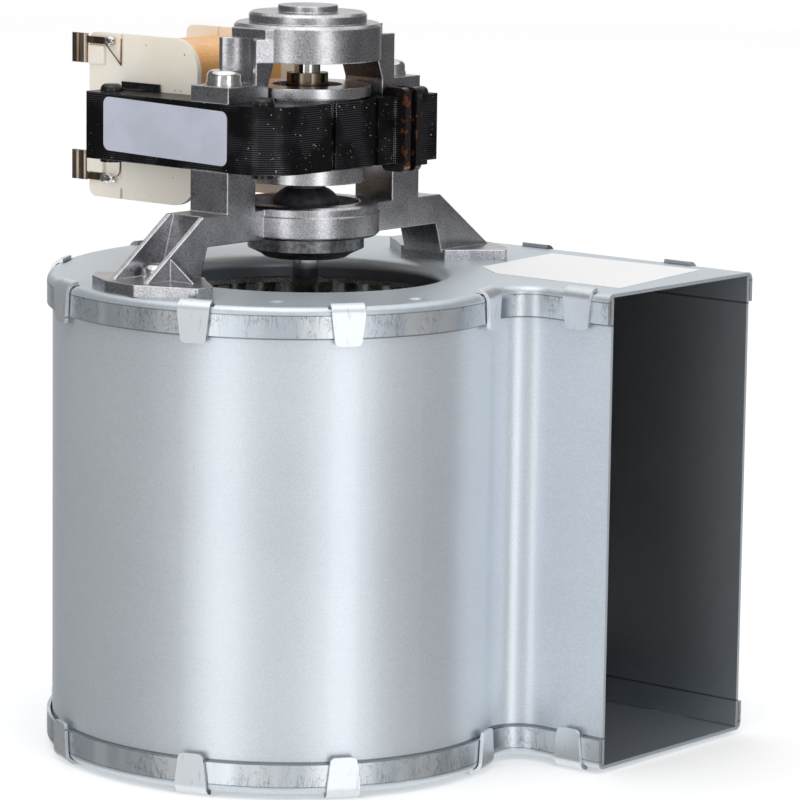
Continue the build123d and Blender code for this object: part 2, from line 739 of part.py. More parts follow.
# Bobbin
CORE_X = (CORE_X0 + CORE_X1) / 2
STACK_MID = (STACK_LOW + STACK_TOP) / 2
BOBBIN_X0 = -52.8
BOBBIN_X1 = -18.4
BOBBIN_Z0 = STACK_LOW - 10.6
BOBBIN_Z1 = STACK_TOP + 12.6
BOBBIN_MID = (BOBBIN_Z0 + BOBBIN_Z1) / 2
FLANGE_T = 1.4
FLANGE_Y = 17.4
FLANGE_R = 7.5
FLANGE_BACK_R = 2.0
SLEEVE_T = 1.0
SLEEVE_FIT = 0.2
SLEEVE_IN_W = CORE_X1 - CORE_X0 + 2 * SLEEVE_FIT
SLEEVE_IN_H = STACK_H + 2 * SLEEVE_FIT
SLEEVE_W = SLEEVE_IN_W + 2 * SLEEVE_T
SLEEVE_H = SLEEVE_IN_H + 2 * SLEEVE_T
# Slits in the cheeks that the ends of the winding are led through
SLIT_X = -42.4
WIRE_SLIT_W = 0.8
WIRE_SLIT_L = 2.5
with BuildPart() as bobbin:
    for y in (-FLANGE_Y + FLANGE_T, FLANGE_Y):
        with BuildSketch(Plane.XZ.offset(-y)) as cheek:
            with Locations(((BOBBIN_X0 + BOBBIN_X1) / 2, BOBBIN_MID)):
                Rectangle(BOBBIN_X1 - BOBBIN_X0, BOBBIN_Z1 - BOBBIN_Z0)
            fillet(cheek.vertices().filter_by(lambda v: v.X > CORE_X), FLANGE_R)
            fillet(cheek.vertices().filter_by(lambda v: v.X < BOBBIN_X0 + 1), FLANGE_BACK_R)
            with Locations((SLIT_X, BOBBIN_Z0), (SLIT_X, BOBBIN_Z1)):
                Rectangle(WIRE_SLIT_W, 2 * WIRE_SLIT_L, mode=Mode.SUBTRACT)
        extrude(amount=FLANGE_T)
    with BuildSketch(Plane.XZ.offset(-FLANGE_Y)):
        with Locations((CORE_X, STACK_MID)):
            Rectangle(SLEEVE_W, SLEEVE_H)
    extrude(amount=2 * FLANGE_Y)
    with BuildSketch(Plane.XZ.offset(-FLANGE_Y - 1)):
        with Locations((CORE_X, STACK_MID)):
            Rectangle(SLEEVE_IN_W, SLEEVE_IN_H)
    extrude(amount=2 * FLANGE_Y + 2, mode=Mode.SUBTRACT)
bobbin.part.label = "bobbin"
export_step(bobbin.part, "parts/bobbin.step")

# Taped winding
COIL_X0 = -49.5
COIL_X1 = -22.4
COIL_Z0 = BOBBIN_Z0 + 2.2
COIL_Z1 = BOBBIN_Z1 - 2.1
COIL_CORNER_R = 6.0
with BuildPart() as winding:
    with BuildSketch(Plane.XZ.offset(-FLANGE_Y + FLANGE_T)):
        with Locations(((COIL_X0 + COIL_X1) / 2, (COIL_Z0 + COIL_Z1) / 2)):
            RectangleRounded(COIL_X1 - COIL_X0, COIL_Z1 - COIL_Z0, COIL_CORNER_R)
        with Locations((CORE_X, STACK_MID)):
            Rectangle(SLEEVE_W, SLEEVE_H, mode=Mode.SUBTRACT)
    extrude(amount=2 * (FLANGE_Y - FLANGE_T))
winding.part.label = "winding"
export_step(winding.part, "parts/winding.step")

# Tinned terminals clipped on the front cheek: a push on tab and a strip to the wire
TERM_T = 0.8
TERM_Y = -FLANGE_Y - TERM_T
TAB_X0 = -57.7
TAB_X1 = -53.1
TAB_H = 6.9
STRIP_H = 1.6
UPPER_TAB_Z = BOBBIN_Z1 - 7.3
LOWER_TAB_Z = BOBBIN_Z0 + 3.8
for name, z0, leg0, leg1, leg_x in (
    ("terminal_upper", UPPER_TAB_Z, UPPER_TAB_Z + 4.7, UPPER_TAB_Z + 4.7 + STRIP_H, -44.6),
    ("terminal_lower", LOWER_TAB_Z, LOWER_TAB_Z + 0.2, LOWER_TAB_Z + 0.2 + STRIP_H, -46.0),
):
    with BuildPart() as terminal:
        with BuildSketch(Plane.XZ.offset(-TERM_Y - TERM_T)):
            with BuildLine():
                Polyline(
                    (TAB_X0, z0),
                    (TAB_X1, z0),
                    (TAB_X1, leg0),
                    (leg_x, leg0),
                    (leg_x, leg1),
                    (TAB_X1, leg1),
                    (TAB_X1, z0 + TAB_H),
                    (TAB_X0, z0 + TAB_H),
                    close=True,
                )
            make_face()
        extrude(amount=TERM_T)
    terminal.part.label = name
    export_step(terminal.part, "parts/" + name + ".step")

# Shading rings, closed loops through the stack and over its end face
RING_OUT_X = STACK_END_X + RING_W
with BuildPart() as shading_rings:
    for y in RING_YS:
        with BuildSketch(Plane.XZ.offset(-y - RING_W / 2)):
            mid_x = (RING_OUT_X + RING_SLOT_X - RING_W / 2) / 2
            wide = RING_OUT_X - RING_SLOT_X + RING_W / 2
            up = STACK_TOP - STACK_LOW + 2 * RING_W
            with Locations((mid_x, (STACK_TOP + STACK_LOW) / 2)):
                RectangleRounded(wide, up, RING_W * 0.8)
                Rectangle(wide - 2 * RING_W, STACK_TOP - STACK_LOW, mode=Mode.SUBTRACT)
        extrude(amount=RING_W)
shading_rings.part.label = "shading_rings"
export_step(shading_rings.part, "parts/shading_rings.step")

# Shaft
with BuildPart() as shaft:
    with BuildSketch(Plane.XY.offset(SHAFT_LOW)):
        Circle(SHAFT_R)
    extrude(amount=SHAFT_TOP - SHAFT_LOW)
    chamfer(shaft.edges().filter_by(GeomType.CIRCLE), 0.5)
shaft.part.label = "shaft"
export_step(shaft.part, "parts/shaft.step")

# Rotor core and its cast end rings
with BuildPart() as rotor_core:
    with BuildSketch(Plane.XY.offset(STACK_LOW)):
        Circle(ROTOR_R)
        Circle(SHAFT_R, mode=Mode.SUBTRACT)
    extrude(amount=STACK_TOP - STACK_LOW)
rotor_core.part.label = "rotor_core"
export_step(rotor_core.part, "parts/rotor_core.step")
END_RING_R = 13.5
END_RING_WIDE_R = 14.7
END_RING_CLEAR = 0.5
END_RING_IN = 8.2
END_RING_LOW_H = 3.8
END_RING_TOP_H = 2.9
with BuildPart() as rotor_end_rings:
    with BuildSketch(Plane.XY.offset(STACK_LOW - END_RING_LOW_H)):
        Circle(END_RING_R)
        Circle(END_RING_IN, mode=Mode.SUBTRACT)
    extrude(amount=END_RING_LOW_H)
    with BuildSketch(Plane.XY.offset(STACK_TOP)):
        Circle(END_RING_R)
        Circle(END_RING_IN, mode=Mode.SUBTRACT)
    extrude(amount=END_RING_CLEAR)
    # The upper ring overhangs the bore of the stack
    with BuildSketch(Plane.XY.offset(STACK_TOP + END_RING_CLEAR)):
        Circle(END_RING_WIDE_R)
        Circle(END_RING_IN, mode=Mode.SUBTRACT)
    extrude(amount=END_RING_TOP_H - END_RING_CLEAR)
rotor_end_rings.part.label = "rotor_end_rings"
export_step(rotor_end_rings.part, "parts/rotor_end_rings.step")

# Spacer above the rotor, slinger dome below it
SPACER_R = 4.8
SPACER_TOP = STACK_TOP + 5.6
CROWN_NOTCHES = 8
CROWN_DEPTH = 2.2
with BuildPart() as rotor_spacer:
    with BuildSketch(Plane.XY.offset(STACK_TOP)):
        Circle(SPACER_R)
        Circle(SHAFT_R, mode=Mode.SUBTRACT)
    extrude(amount=SPACER_TOP - STACK_TOP)
    with BuildSketch(Plane.XY.offset(SPACER_TOP - CROWN_DEPTH)):
        with PolarLocations(SPACER_R, CROWN_NOTCHES):
            Rectangle(SPACER_R / 2, 1.3)
    extrude(amount=CROWN_DEPTH, mode=Mode.SUBTRACT)
rotor_spacer.part.label = "rotor_spacer"
export_step(rotor_spacer.part, "parts/rotor_spacer.step")
SLINGER_R = 7.7
SLINGER_LOW = ARM_TOP
with BuildPart() as oil_slinger:
    with BuildSketch(Plane.XZ):
        with BuildLine():
            Line((SHAFT_R, SLINGER_LOW), (SLINGER_R, SLINGER_LOW))
            Line((SLINGER_R, SLINGER_LOW), (SLINGER_R, SLINGER_LOW + 0.9))
            ThreePointArc(
                (SLINGER_R, SLINGER_LOW + 0.9),
                (SHAFT_R + 2.7, SLINGER_LOW + 3.3),
                (SHAFT_R + 1.4, SLINGER_LOW + 3.9),
            )
            Line((SHAFT_R + 1.4, SLINGER_LOW + 3.9), (SHAFT_R + 1.4, STACK_LOW))
            Line((SHAFT_R + 1.4, STACK_LOW), (SHAFT_R, STACK_LOW))
            Line((SHAFT_R, STACK_LOW), (SHAFT_R, SLINGER_LOW))
        make_face()
    revolve(axis=Axis.Z)
oil_slinger.part.label = "oil_slinger"
export_step(oil_slinger.part, "parts/oil_slinger.step")

# Wheel: hub, centre disc, forward curved blades and their end rings
SET_SCREW_R = 2.0
SET_SCREW_Z = HUB_TOP - 3.0
with BuildPart() as wheel_hub:
    with BuildSketch(Plane.XY.offset(HUB_LOW)):
        Circle(HUB_R)
    extrude(amount=HUB_TOP - HUB_LOW)
    chamfer(wheel_hub.edges().filter_by(GeomType.CIRCLE), 0.6)
    with BuildSketch(Plane.XY.offset(HUB_LOW - 1)):
        Circle(SHAFT_R)
    extrude(amount=HUB_TOP - HUB_LOW + 2, mode=Mode.SUBTRACT)
    with BuildSketch(Plane.YZ):
        with Locations((0, SET_SCREW_Z)):
            Circle(SET_SCREW_R)
    extrude(amount=HUB_R + 1, mode=Mode.SUBTRACT)
wheel_hub.part.label = "wheel_hub"
export_step(wheel_hub.part, "parts/wheel_hub.step")
with BuildPart() as set_screw:
    with BuildSketch(Plane.YZ.offset(SHAFT_R)):
        with Locations((0, SET_SCREW_Z)):
            Circle(SET_SCREW_R)
    extrude(amount=HUB_R - SHAFT_R - 0.6)
set_screw.part.label = "set_screw"
export_step(set_screw.part, "parts/set_screw.step")
with BuildPart() as wheel_disc:
    with BuildSketch(Plane.XY.offset(DISC_Z)):
        Circle(WHEEL_R)
        Circle(HUB_R, mode=Mode.SUBTRACT)
    extrude(amount=DISC_T)
wheel_disc.part.label = "wheel_disc"
export_step(wheel_disc.part, "parts/wheel_disc.step")

END_T = 0.7
END_LIP_H = 2.6
BLADE_RIM_T = 0.5
BLADE_END_GAP = 0.3
BLADE_SWEEP = 9.0
BLADE_BULGE = BLADE_DEPTH * 0.24
BLADE_OUT_R = WHEEL_R - END_T - BLADE_END_GAP


# One blade's section: it leaves the inner circle nearly radially and leans into the rotation
def blade_face():
    inner = on_circle(BLADE_IN_R, 0)
    outer = on_circle(BLADE_OUT_R, -BLADE_SWEEP)
    centre_x, centre_y = on_circle((BLADE_IN_R + BLADE_OUT_R) / 2, -BLADE_SWEEP / 2)
    inner_b = on_circle(BLADE_IN_R, degrees(BLADE_T / BLADE_IN_R))
    outer_b = on_circle(BLADE_OUT_R, -BLADE_SWEEP + degrees(BLADE_T / BLADE_OUT_R))
    with BuildSketch() as section:
        with BuildLine():
            ThreePointArc(inner, (centre_x, centre_y + BLADE_BULGE), outer)
            Line(outer, outer_b)
            ThreePointArc(outer_b, (centre_x, centre_y + BLADE_BULGE + BLADE_T), inner_b)
            Line(inner_b, inner)
        make_face()
    return section.sketch


# One half of the wheel: a strip of blades between its two rims
def blade_strip(low, high):
    blade = blade_face()
    with BuildPart() as strip:
        with BuildSketch(Plane.XY.offset(low)):
            with PolarLocations(0, BLADE_COUNT):
                add(blade)
        extrude(amount=high - low)
        for level in (low, high - BLADE_RIM_T):
            with BuildSketch(Plane.XY.offset(level)):
                Circle(BLADE_OUT_R)
                Circle(BLADE_IN_R, mode=Mode.SUBTRACT)
            extrude(amount=BLADE_RIM_T)
    return strip


blades_upper = blade_strip(DISC_Z + DISC_T, WHEEL_TOP - END_T)
blades_upper.part.label = "blades_upper"
export_step(blades_upper.part, "parts/blades_upper.step")
blades_lower = blade_strip(WHEEL_LOW + END_T, DISC_Z)
blades_lower.part.label = "blades_lower"
export_step(blades_lower.part, "parts/blades_lower.step")

# End rings crimped over the strips
with BuildPart() as wheel_end_rings:
    for level, sign in ((WHEEL_TOP, -1), (WHEEL_LOW, 1)):
        with BuildSketch(Plane.XY.offset(level)):
            Circle(WHEEL_R)
            Circle(BLADE_IN_R - BLADE_END_GAP, mode=Mode.SUBTRACT)
        extrude(amount=sign * END_T)
        with BuildSketch(Plane.XY.offset(level)):
            Circle(WHEEL_R)
            Circle(WHEEL_R - END_T, mode=Mode.SUBTRACT)
        extrude(amount=sign * END_LIP_H)
wheel_end_rings.part.label = "wheel_end_rings"
export_step(wheel_end_rings.part, "parts/wheel_end_rings.step")
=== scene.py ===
# %% [markdown]
# The object is a small centrifugal blower: a drum wheel turns in a scroll of galvanised sheet, and an open
# shaded pole motor stands over its round inlet on a cast bracket.
# The solids come from the imported part, in metres, with the shaft on the Z axis. This lesson gives each of
# them its finish, adds the small pieces that solids leave out, and lights them as a product photograph.
# The box of the solids is kept now, before anything is added, and the floor is later set just under it.
# %% Load the solids
import math

import bmesh
import bpy
from mathutils import Matrix, Vector, noise


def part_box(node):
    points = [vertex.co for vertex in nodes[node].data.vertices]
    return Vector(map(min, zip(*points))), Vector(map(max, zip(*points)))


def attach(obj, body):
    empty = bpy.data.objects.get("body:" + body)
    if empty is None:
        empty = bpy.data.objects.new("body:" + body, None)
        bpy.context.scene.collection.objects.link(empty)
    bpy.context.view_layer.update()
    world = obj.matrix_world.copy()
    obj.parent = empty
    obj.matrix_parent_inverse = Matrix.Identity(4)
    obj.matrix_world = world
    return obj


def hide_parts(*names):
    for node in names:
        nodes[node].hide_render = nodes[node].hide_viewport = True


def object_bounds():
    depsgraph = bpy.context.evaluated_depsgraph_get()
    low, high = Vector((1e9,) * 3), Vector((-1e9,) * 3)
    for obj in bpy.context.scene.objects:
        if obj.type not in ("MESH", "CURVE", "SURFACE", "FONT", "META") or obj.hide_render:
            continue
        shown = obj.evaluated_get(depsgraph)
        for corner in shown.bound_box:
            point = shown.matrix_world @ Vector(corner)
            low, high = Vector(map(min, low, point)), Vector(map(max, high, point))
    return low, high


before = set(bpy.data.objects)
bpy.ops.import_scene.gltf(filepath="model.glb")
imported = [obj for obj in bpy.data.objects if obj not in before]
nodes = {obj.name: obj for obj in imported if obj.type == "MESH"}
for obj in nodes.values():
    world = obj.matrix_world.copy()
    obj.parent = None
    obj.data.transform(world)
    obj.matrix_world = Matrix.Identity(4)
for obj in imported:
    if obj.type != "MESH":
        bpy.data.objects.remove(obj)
solid_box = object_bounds()
print(len(nodes), "solids, lowest corner", solid_box[0], "highest corner", solid_box[1])

# %% [markdown]
# The camera stands where the photographer stood: a little over a metre away, to the right of the near side
# and slightly above, with a long lens.
# A camera can be aimed by hand or by a constraint. Here its three axes are written out from three angles,
# because the angles are what was measured, and a matrix holds them exactly.
# %% Camera
TURN, TILT, LEAN = math.radians(39.938), math.radians(9.389), math.radians(-0.786)
CAMERA_PLACE = (0.66045, -0.75400, 0.24592)
LENS_MM, SENSOR_MM = 196.03, 36.0

ahead = Vector((-math.sin(TURN) * math.cos(TILT), math.cos(TURN) * math.cos(TILT), -math.sin(TILT)))
level = Vector((math.cos(TURN), math.sin(TURN), 0.0))
down = ahead.cross(level)
across = level * math.cos(LEAN) + down * math.sin(LEAN)
below = down * math.cos(LEAN) - level * math.sin(LEAN)

lens = bpy.data.cameras.new("camera")
lens.lens = LENS_MM
lens.sensor_width = SENSOR_MM
lens.clip_start, lens.clip_end = 0.05, 50.0
camera = bpy.data.objects.new("camera", lens)
bpy.context.scene.collection.objects.link(camera)
camera.matrix_world = Matrix((across, -below, -ahead)).transposed().to_4x4()
camera.location = CAMERA_PLACE
bpy.context.scene.camera = camera
print("camera at", camera.location, "with a lens of", lens.lens, "mm")

# %% [markdown]
# Shader maths reads best as plain formulas, so one small class stands for a socket and knows the usual
# operators. Writing 1 - mask then adds the Math node that does it.
# The reflected forms, such as __rsub__, are what Python calls when the number stands first.
# %% Shader sockets as values
class Wire:
    """The output of a shader node, ready for sums."""

    def __init__(self, owner, socket):
        self.owner = owner
        self.socket = socket

    def sum_with(self, operation, first, second=0.0):
        return self.owner.node("ShaderNodeMath", {"operation": operation}, {0: first, 1: second})

    def __add__(self, other):
        return self.sum_with("ADD", self, other)

    def __radd__(self, other):
        return self.sum_with("ADD", other, self)

    def __sub__(self, other):
        return self.sum_with("SUBTRACT", self, other)

    def __rsub__(self, other):
        return self.sum_with("SUBTRACT", other, self)

    def __mul__(self, other):
        return self.sum_with("MULTIPLY", self, other)

    def __rmul__(self, other):
        return self.sum_with("MULTIPLY", other, self)

    def __truediv__(self, other):
        return self.sum_with("DIVIDE", self, other)

    def __pow__(self, other):
        return self.sum_with("POWER", self, other)

    def __abs__(self):
        return self.sum_with("ABSOLUTE", self)

    def most(self, other):
        """The larger of two values, which joins two masks."""
        return self.sum_with("MAXIMUM", self, other)


print("a socket adds its own Math nodes")

# %% [markdown]
# A material and a world both hold a tree of nodes. One class adds nodes to either: the settings are set
# first, because some of them change which sockets a node has, and the sockets get their values or links.
# A finish is such a tree with a surface shader. Patterns go to the sockets that a bake can keep, and what
# is the same all over is set on the shader itself.
# %% Trees of nodes and finishes
class Tree:
    """A tree of nodes that can be added to."""

    def __init__(self, tree):
        self.tree = tree

    def node(self, kind, settings=None, values=None, output=0):
        """Adds a node, sets its settings and then its sockets, and gives one of its outputs."""
        made = self.tree.nodes.new(kind)
        for key, value in (settings or {}).items():
            setattr(made, key, value)
        for key, value in (values or {}).items():
            if isinstance(value, Wire):
                self.tree.links.new(value.socket, made.inputs[key])
            else:
                made.inputs[key].default_value = value
        return Wire(self, made.outputs[output])

    def connect(self, wire, name, socket):
        """Links a wire to a node that the tree had from the start."""
        self.tree.links.new(wire.socket, self.tree.nodes[name].inputs[socket])


class Finish(Tree):
    """One material: its surface shader and every node that feeds it."""

    def __init__(self, name, **constants):
        self.material = bpy.data.materials.new(name)
        self.material.use_nodes = True
        super().__init__(self.material.node_tree)
        self.shader = self.tree.nodes["Principled BSDF"]
        for socket, value in constants.items():
            self.shader.inputs[socket.replace("_", " ")].default_value = value

    def feed(self, socket, wire):
        """Links a pattern to one of the surface shader's sockets."""
        self.tree.links.new(wire.socket, self.shader.inputs[socket])

    def fed(self, socket):
        """What feeds a socket so far, to build on."""
        return Wire(self, self.shader.inputs[socket].links[0].from_socket)

    def cover(self, *names):
        """Puts the finish on solids by name, as their only material."""
        for name in names:
            piece = nodes[name]
            piece.data.materials.clear()
            piece.data.materials.append(self.material)
        print(self.material.name, "on", ", ".join(names))


print("a finish keeps one material")

# %% [markdown]
# Most real surfaces show the same few things: a grain, streaks along the way they were rolled or ground,
# specks of dust, and marks that come and go with height.
# Each of them is a short helper on the object's own coordinates, which are metres here, so a scale of 1000
# is a grain of about a millimetre, and a finish stays in place when its piece turns.
# %% Patterns of grain and place
def grain(finish, scale, stretch=(1.0, 1.0, 1.0), detail=2.0):
    """Noise from 0 to 1, its grains about 1 / scale metres, or longer where stretch is below 1."""
    place = finish.node("ShaderNodeTexCoord", output="Object")
    size = tuple(scale * s for s in stretch)
    mapped = finish.node("ShaderNodeMapping", values={"Vector": place, "Scale": size})
    return finish.node("ShaderNodeTexNoise", values={"Vector": mapped, "Scale": 1.0, "Detail": detail})


def along(finish, axis):
    """The place along X, Y or Z, in metres."""
    place = finish.node("ShaderNodeTexCoord", output="Object")
    return finish.node("ShaderNodeSeparateXYZ", values={"Vector": place}, output=axis)


def waves(finish, axis, period):
    """A sine from 0 to 1 along an axis, for things that lie side by side."""
    turns = along(finish, axis) * (2.0 * math.pi / period)
    return finish.node("ShaderNodeMath", {"operation": "SINE"}, {0: turns}) * 0.5 + 0.5


print("patterns: grain, along, waves")

# %% [markdown]
# The patterns are numbers. Three more helpers turn them into what the shader takes: a mask with soft edges,
# a colour between two others, and a bumpy normal. Colours go through a Mix node, since a Math node would
# turn them grey.
# %% Masks, colours and bumps
def fade(finish, value, low, high):
    """0 below low, 1 above high and smooth between them."""
    settings = {"interpolation_type": "SMOOTHSTEP"}
    return finish.node("ShaderNodeMapRange", settings, {"Value": value, "From Min": low, "From Max": high})


def tint(finish, mask, first, second):
    """The first colour where the mask is 0, and the second where it is 1."""
    both = {}
    for socket, colour in ((6, first), (7, second)):
        both[socket] = colour if isinstance(colour, Wire) else (*colour, 1.0)
    return finish.node("ShaderNodeMix", {"data_type": "RGBA"}, {0: mask, **both}, output=2)


def relief(finish, height, depth, strength, over=None):
    """Bumps up to depth metres high, over a normal that is rounded already or over the plain one."""
    values = {"Height": height, "Distance": depth, "Strength": strength}
    if over is not None:
        values["Normal"] = over
    return finish.node("ShaderNodeBump", values=values)


print("masks, colours and bumps: fade, tint, relief")

# %% [markdown]
# Edges and the two sides of a sheet are found from normals.
# The Bevel node looks round each point for an edge. Where its normal differs from the true one there is an
# edge, which gives both a soft corner and the mask for a bright rubbed line.
# %% Masks from normals
def corners(finish, radius, low=0.10, high=0.50):
    """The normal rounded over the edges, and a mask that is 1 on them."""
    rounded = finish.node("ShaderNodeBevel", {"samples": 4}, {"Radius": radius})
    true = finish.node("ShaderNodeNewGeometry", output="Normal")
    settings = {"operation": "DISTANCE"}
    apart = finish.node("ShaderNodeVectorMath", settings, {0: rounded, 1: true}, output="Value")
    return rounded, fade(finish, apart, low, high)


def upward(finish):
    """1 on a face that looks up, 0 on an upright one and -1 on one that looks down."""
    normal = finish.node("ShaderNodeNewGeometry", output="Normal")
    return finish.node("ShaderNodeSeparateXYZ", values={"Vector": normal}, output=2)


print("masks from normals: corners, upward")

# %% [markdown]
# Galvanised sheet is steel with a thin coat of zinc. It is pale and a little blue. Its frosted skin spreads
# the light: part of it comes back as from paper, and part as from a dull mirror, in broad soft bands. A
# value of Metallic between the two stands for that mixture.
# An image of steel would do this too, but it would show its repeat. Here broad clouds and a sparkle at the
# size of the crystals make the colour, and the same sparkle makes the skin uneven.
# %% Galvanised sheet
def galvanised(name, lines, light=(0.80, 0.86, 0.91), dark=(0.70, 0.75, 0.81), roughness=0.38):
    """lines is the stretch of the rolling marks, large across them."""
    sheet = Finish(name)
    rolled = grain(sheet, 60.0, stretch=lines, detail=3.0)
    clouds = grain(sheet, 24.0, detail=3.0)
    sparkle = grain(sheet, 3000.0, detail=1.0)
    mix = fade(sheet, rolled * 0.12 + clouds * 0.36 + sparkle * 0.52, 0.34, 0.66)
    sheet.feed("Base Color", tint(sheet, mix, dark, light))
    sheet.feed("Metallic", 0.60 + clouds * 0.04)
    sheet.feed("Roughness", roughness - 0.07 + clouds * 0.06 + sparkle * 0.08)
    sheet.feed("Normal", relief(sheet, rolled * 0.2 + sparkle * 0.8, 0.000010, 0.5))
    return sheet


# Painted shade: inside the blower this darkening stands for shade; on the wheel it is dust.
def darken_for_dust_and_shade(sheet, mask, share=1.0, colour=(0.20, 0.22, 0.25)):
    """Where the mask is 1 the sheet is darker bare metal: a film of dust on the wheel, and painted shade
    inside the blower.
    """
    sheet.feed("Base Color", tint(sheet, mask * share, sheet.fed("Base Color"), colour))
    sheet.feed("Metallic", sheet.fed("Metallic") + mask * 0.5)


print("galvanised sheet and its dusty side")

# %% [markdown]
# The scroll's own edge comes out through slits in the side plates and is folded down over their rims. These
# tabs are brighter than the drum, so their finish needs to know where they are.
# Their tips hang lower than the rim, at a height where no other point of the sheet is, so the points found
# there give the place of each tab. The tabs of the lower plate stand under those of the upper one.
# %% Find the folded tabs
TIP_LOW, TIP_HIGH = 0.1012, 0.1028
TAB_APART = 0.010

tabs = []
for point in nodes["scroll_wrap"].data.vertices:
    if TIP_LOW < point.co.z < TIP_HIGH:
        for group in tabs:
            if (group[0] - point.co).length < TAB_APART:
                group.append(point.co.copy())
                break
        else:
            tabs.append([point.co.copy()])
tips = [sum(group, Vector()) / len(group) for group in tabs]
print(len(tips), "tabs at", [(round(tip.x, 4), round(tip.y, 4)) for tip in tips])

# %% [markdown]
# Above the lower edge of the rims only the tabs are seen of this sheet, and below it each tip is known by
# its distance from the places just found.
# Two values do the work: the distance from the middle height, which is the same at both ends, and the place
# seen from above.
# %% Mask of the tabs
MID_HEIGHT = 0.055
SKIRT_EDGE = 0.0481
TAB_END = 0.0460
TIP_R = 0.0031

scroll_sheet = galvanised("galvanised_scroll", (1.0, 1.0, 70.0))
from_middle = abs(along(scroll_sheet, 2) - MID_HEIGHT)
plan = {0: along(scroll_sheet, 0), 1: along(scroll_sheet, 1)}
flat = scroll_sheet.node("ShaderNodeCombineXYZ", values=plan)
tab_mask = fade(scroll_sheet, from_middle, SKIRT_EDGE, SKIRT_EDGE + 0.0001)
low_part = fade(scroll_sheet, from_middle, TAB_END, TAB_END + 0.0002)
for tip in tips:
    settings = {"operation": "DISTANCE"}
    values = {0: flat, 1: (tip.x, tip.y, 0.0)}
    away = scroll_sheet.node("ShaderNodeVectorMath", settings, values, output="Value")
    near = (1.0 - fade(scroll_sheet, away, TIP_R, TIP_R + 0.0003)) * low_part
    tab_mask = tab_mask.most(near)
print("tab mask from", len(tips), "tips")

# %% [markdown]
# Inside, the sheet is darker and more like bare metal: painted shade, less towards the mouth. A normal that
# points back to a place within the scroll belongs to its inner side, and one that points away from it to the
# outer. Where the drum goes behind the rims, a thin painted shadow lies in the gap.
# %% Painted shade on the inner side of the scroll and in the gap under the rims
INNER_PLACE = (0.025, 0.031, 0.0)
MOUTH_FROM, MOUTH_TO = 0.030, 0.076
GAP_PLACE = 0.0478

normal = scroll_sheet.node("ShaderNodeNewGeometry", output="Normal")
settings = {"operation": "SUBTRACT"}
from_inner = scroll_sheet.node("ShaderNodeVectorMath", settings, {0: flat, 1: INNER_PLACE})
settings = {"operation": "DOT_PRODUCT"}
outward = scroll_sheet.node("ShaderNodeVectorMath", settings, {0: normal, 1: from_inner}, output="Value")
inner = fade(scroll_sheet, 0.0 - outward, 0.0, 0.004)
to_mouth = fade(scroll_sheet, along(scroll_sheet, 0), MOUTH_FROM, MOUTH_TO)
# Painted shade: the inner side is darkened, less towards the mouth where more light comes in.
darken_for_dust_and_shade(scroll_sheet, inner * (1.0 - to_mouth * 0.45), 0.40)

tab_mask = tab_mask * (1.0 - inner)
# Painted shadow: a thin dark line on the drum in the gap under the rims.
in_gap = 1.0 - fade(scroll_sheet, abs(from_middle - GAP_PLACE), 0.00010, 0.00035)
gap_shadow_line = in_gap * (1.0 - tab_mask)
shaded = tint(scroll_sheet, gap_shadow_line * 0.65, scroll_sheet.fed("Base Color"), (0.05, 0.05, 0.06))
scroll_sheet.feed("Base Color", shaded)
print("inner side and gap on", scroll_sheet.material.name)

# %% [markdown]
# A tab is smooth zinc with a few upright scratches, and the sheared edge round it is painted near white, a
# painted highlight. It is a little more like metal than the drum, so it changes more from one side of the
# drum to the other.
# %% Finish of the tabs
scratches = grain(scroll_sheet, 1100.0, stretch=(1.0, 1.0, 0.25), detail=4.0)
scores = fade(scroll_sheet, scratches, 0.58, 0.72)
pale = tint(scroll_sheet, scores * 0.35, (0.79, 0.83, 0.87), (0.40, 0.42, 0.45))
# Painted highlight: the sheared edges of the tabs are painted near white.
painted_edge_highlight = corners(scroll_sheet, 0.00025)[1]
with_painted_edge_highlight = tint(scroll_sheet, painted_edge_highlight, pale, (0.98, 0.98, 0.98))
scroll_sheet.feed("Base Color", tint(scroll_sheet, tab_mask, scroll_sheet.fed("Base Color"), with_painted_edge_highlight))
scroll_sheet.feed("Metallic", scroll_sheet.fed("Metallic") + tab_mask * 0.10)
scroll_sheet.feed("Roughness", scroll_sheet.fed("Roughness") - tab_mask * 0.05)
scroll_sheet.cover("scroll_wrap")

# %% [markdown]
# The two side plates are the same sheet, but their rims were drawn down over the edge of the scroll. The
# draw left a crease where the bend ends, with a thin line of painted shade along it, and below it flat
# facets, fine upright wrinkles near the crease, and the outlines that drying water leaves.
# The rim is known by its height and by its distance from the shaft, so a mask of both puts the marks there
# only. A thin outline is made where a noise passes through its middle value.
# %% Galvanised side plates with drawn rims
INLET_R = 0.050
TOP_CREASE, BOTTOM_CREASE = 0.1082, 0.0018
RIM_GLAZE = (0.66, 0.72, 0.79), (0.94, 0.97, 1.0)
# The dark colour of the rim serves its marks and the painted shade along the crease.
RIM_MARK_AND_SHADE_COLOUR = (0.12, 0.125, 0.135)


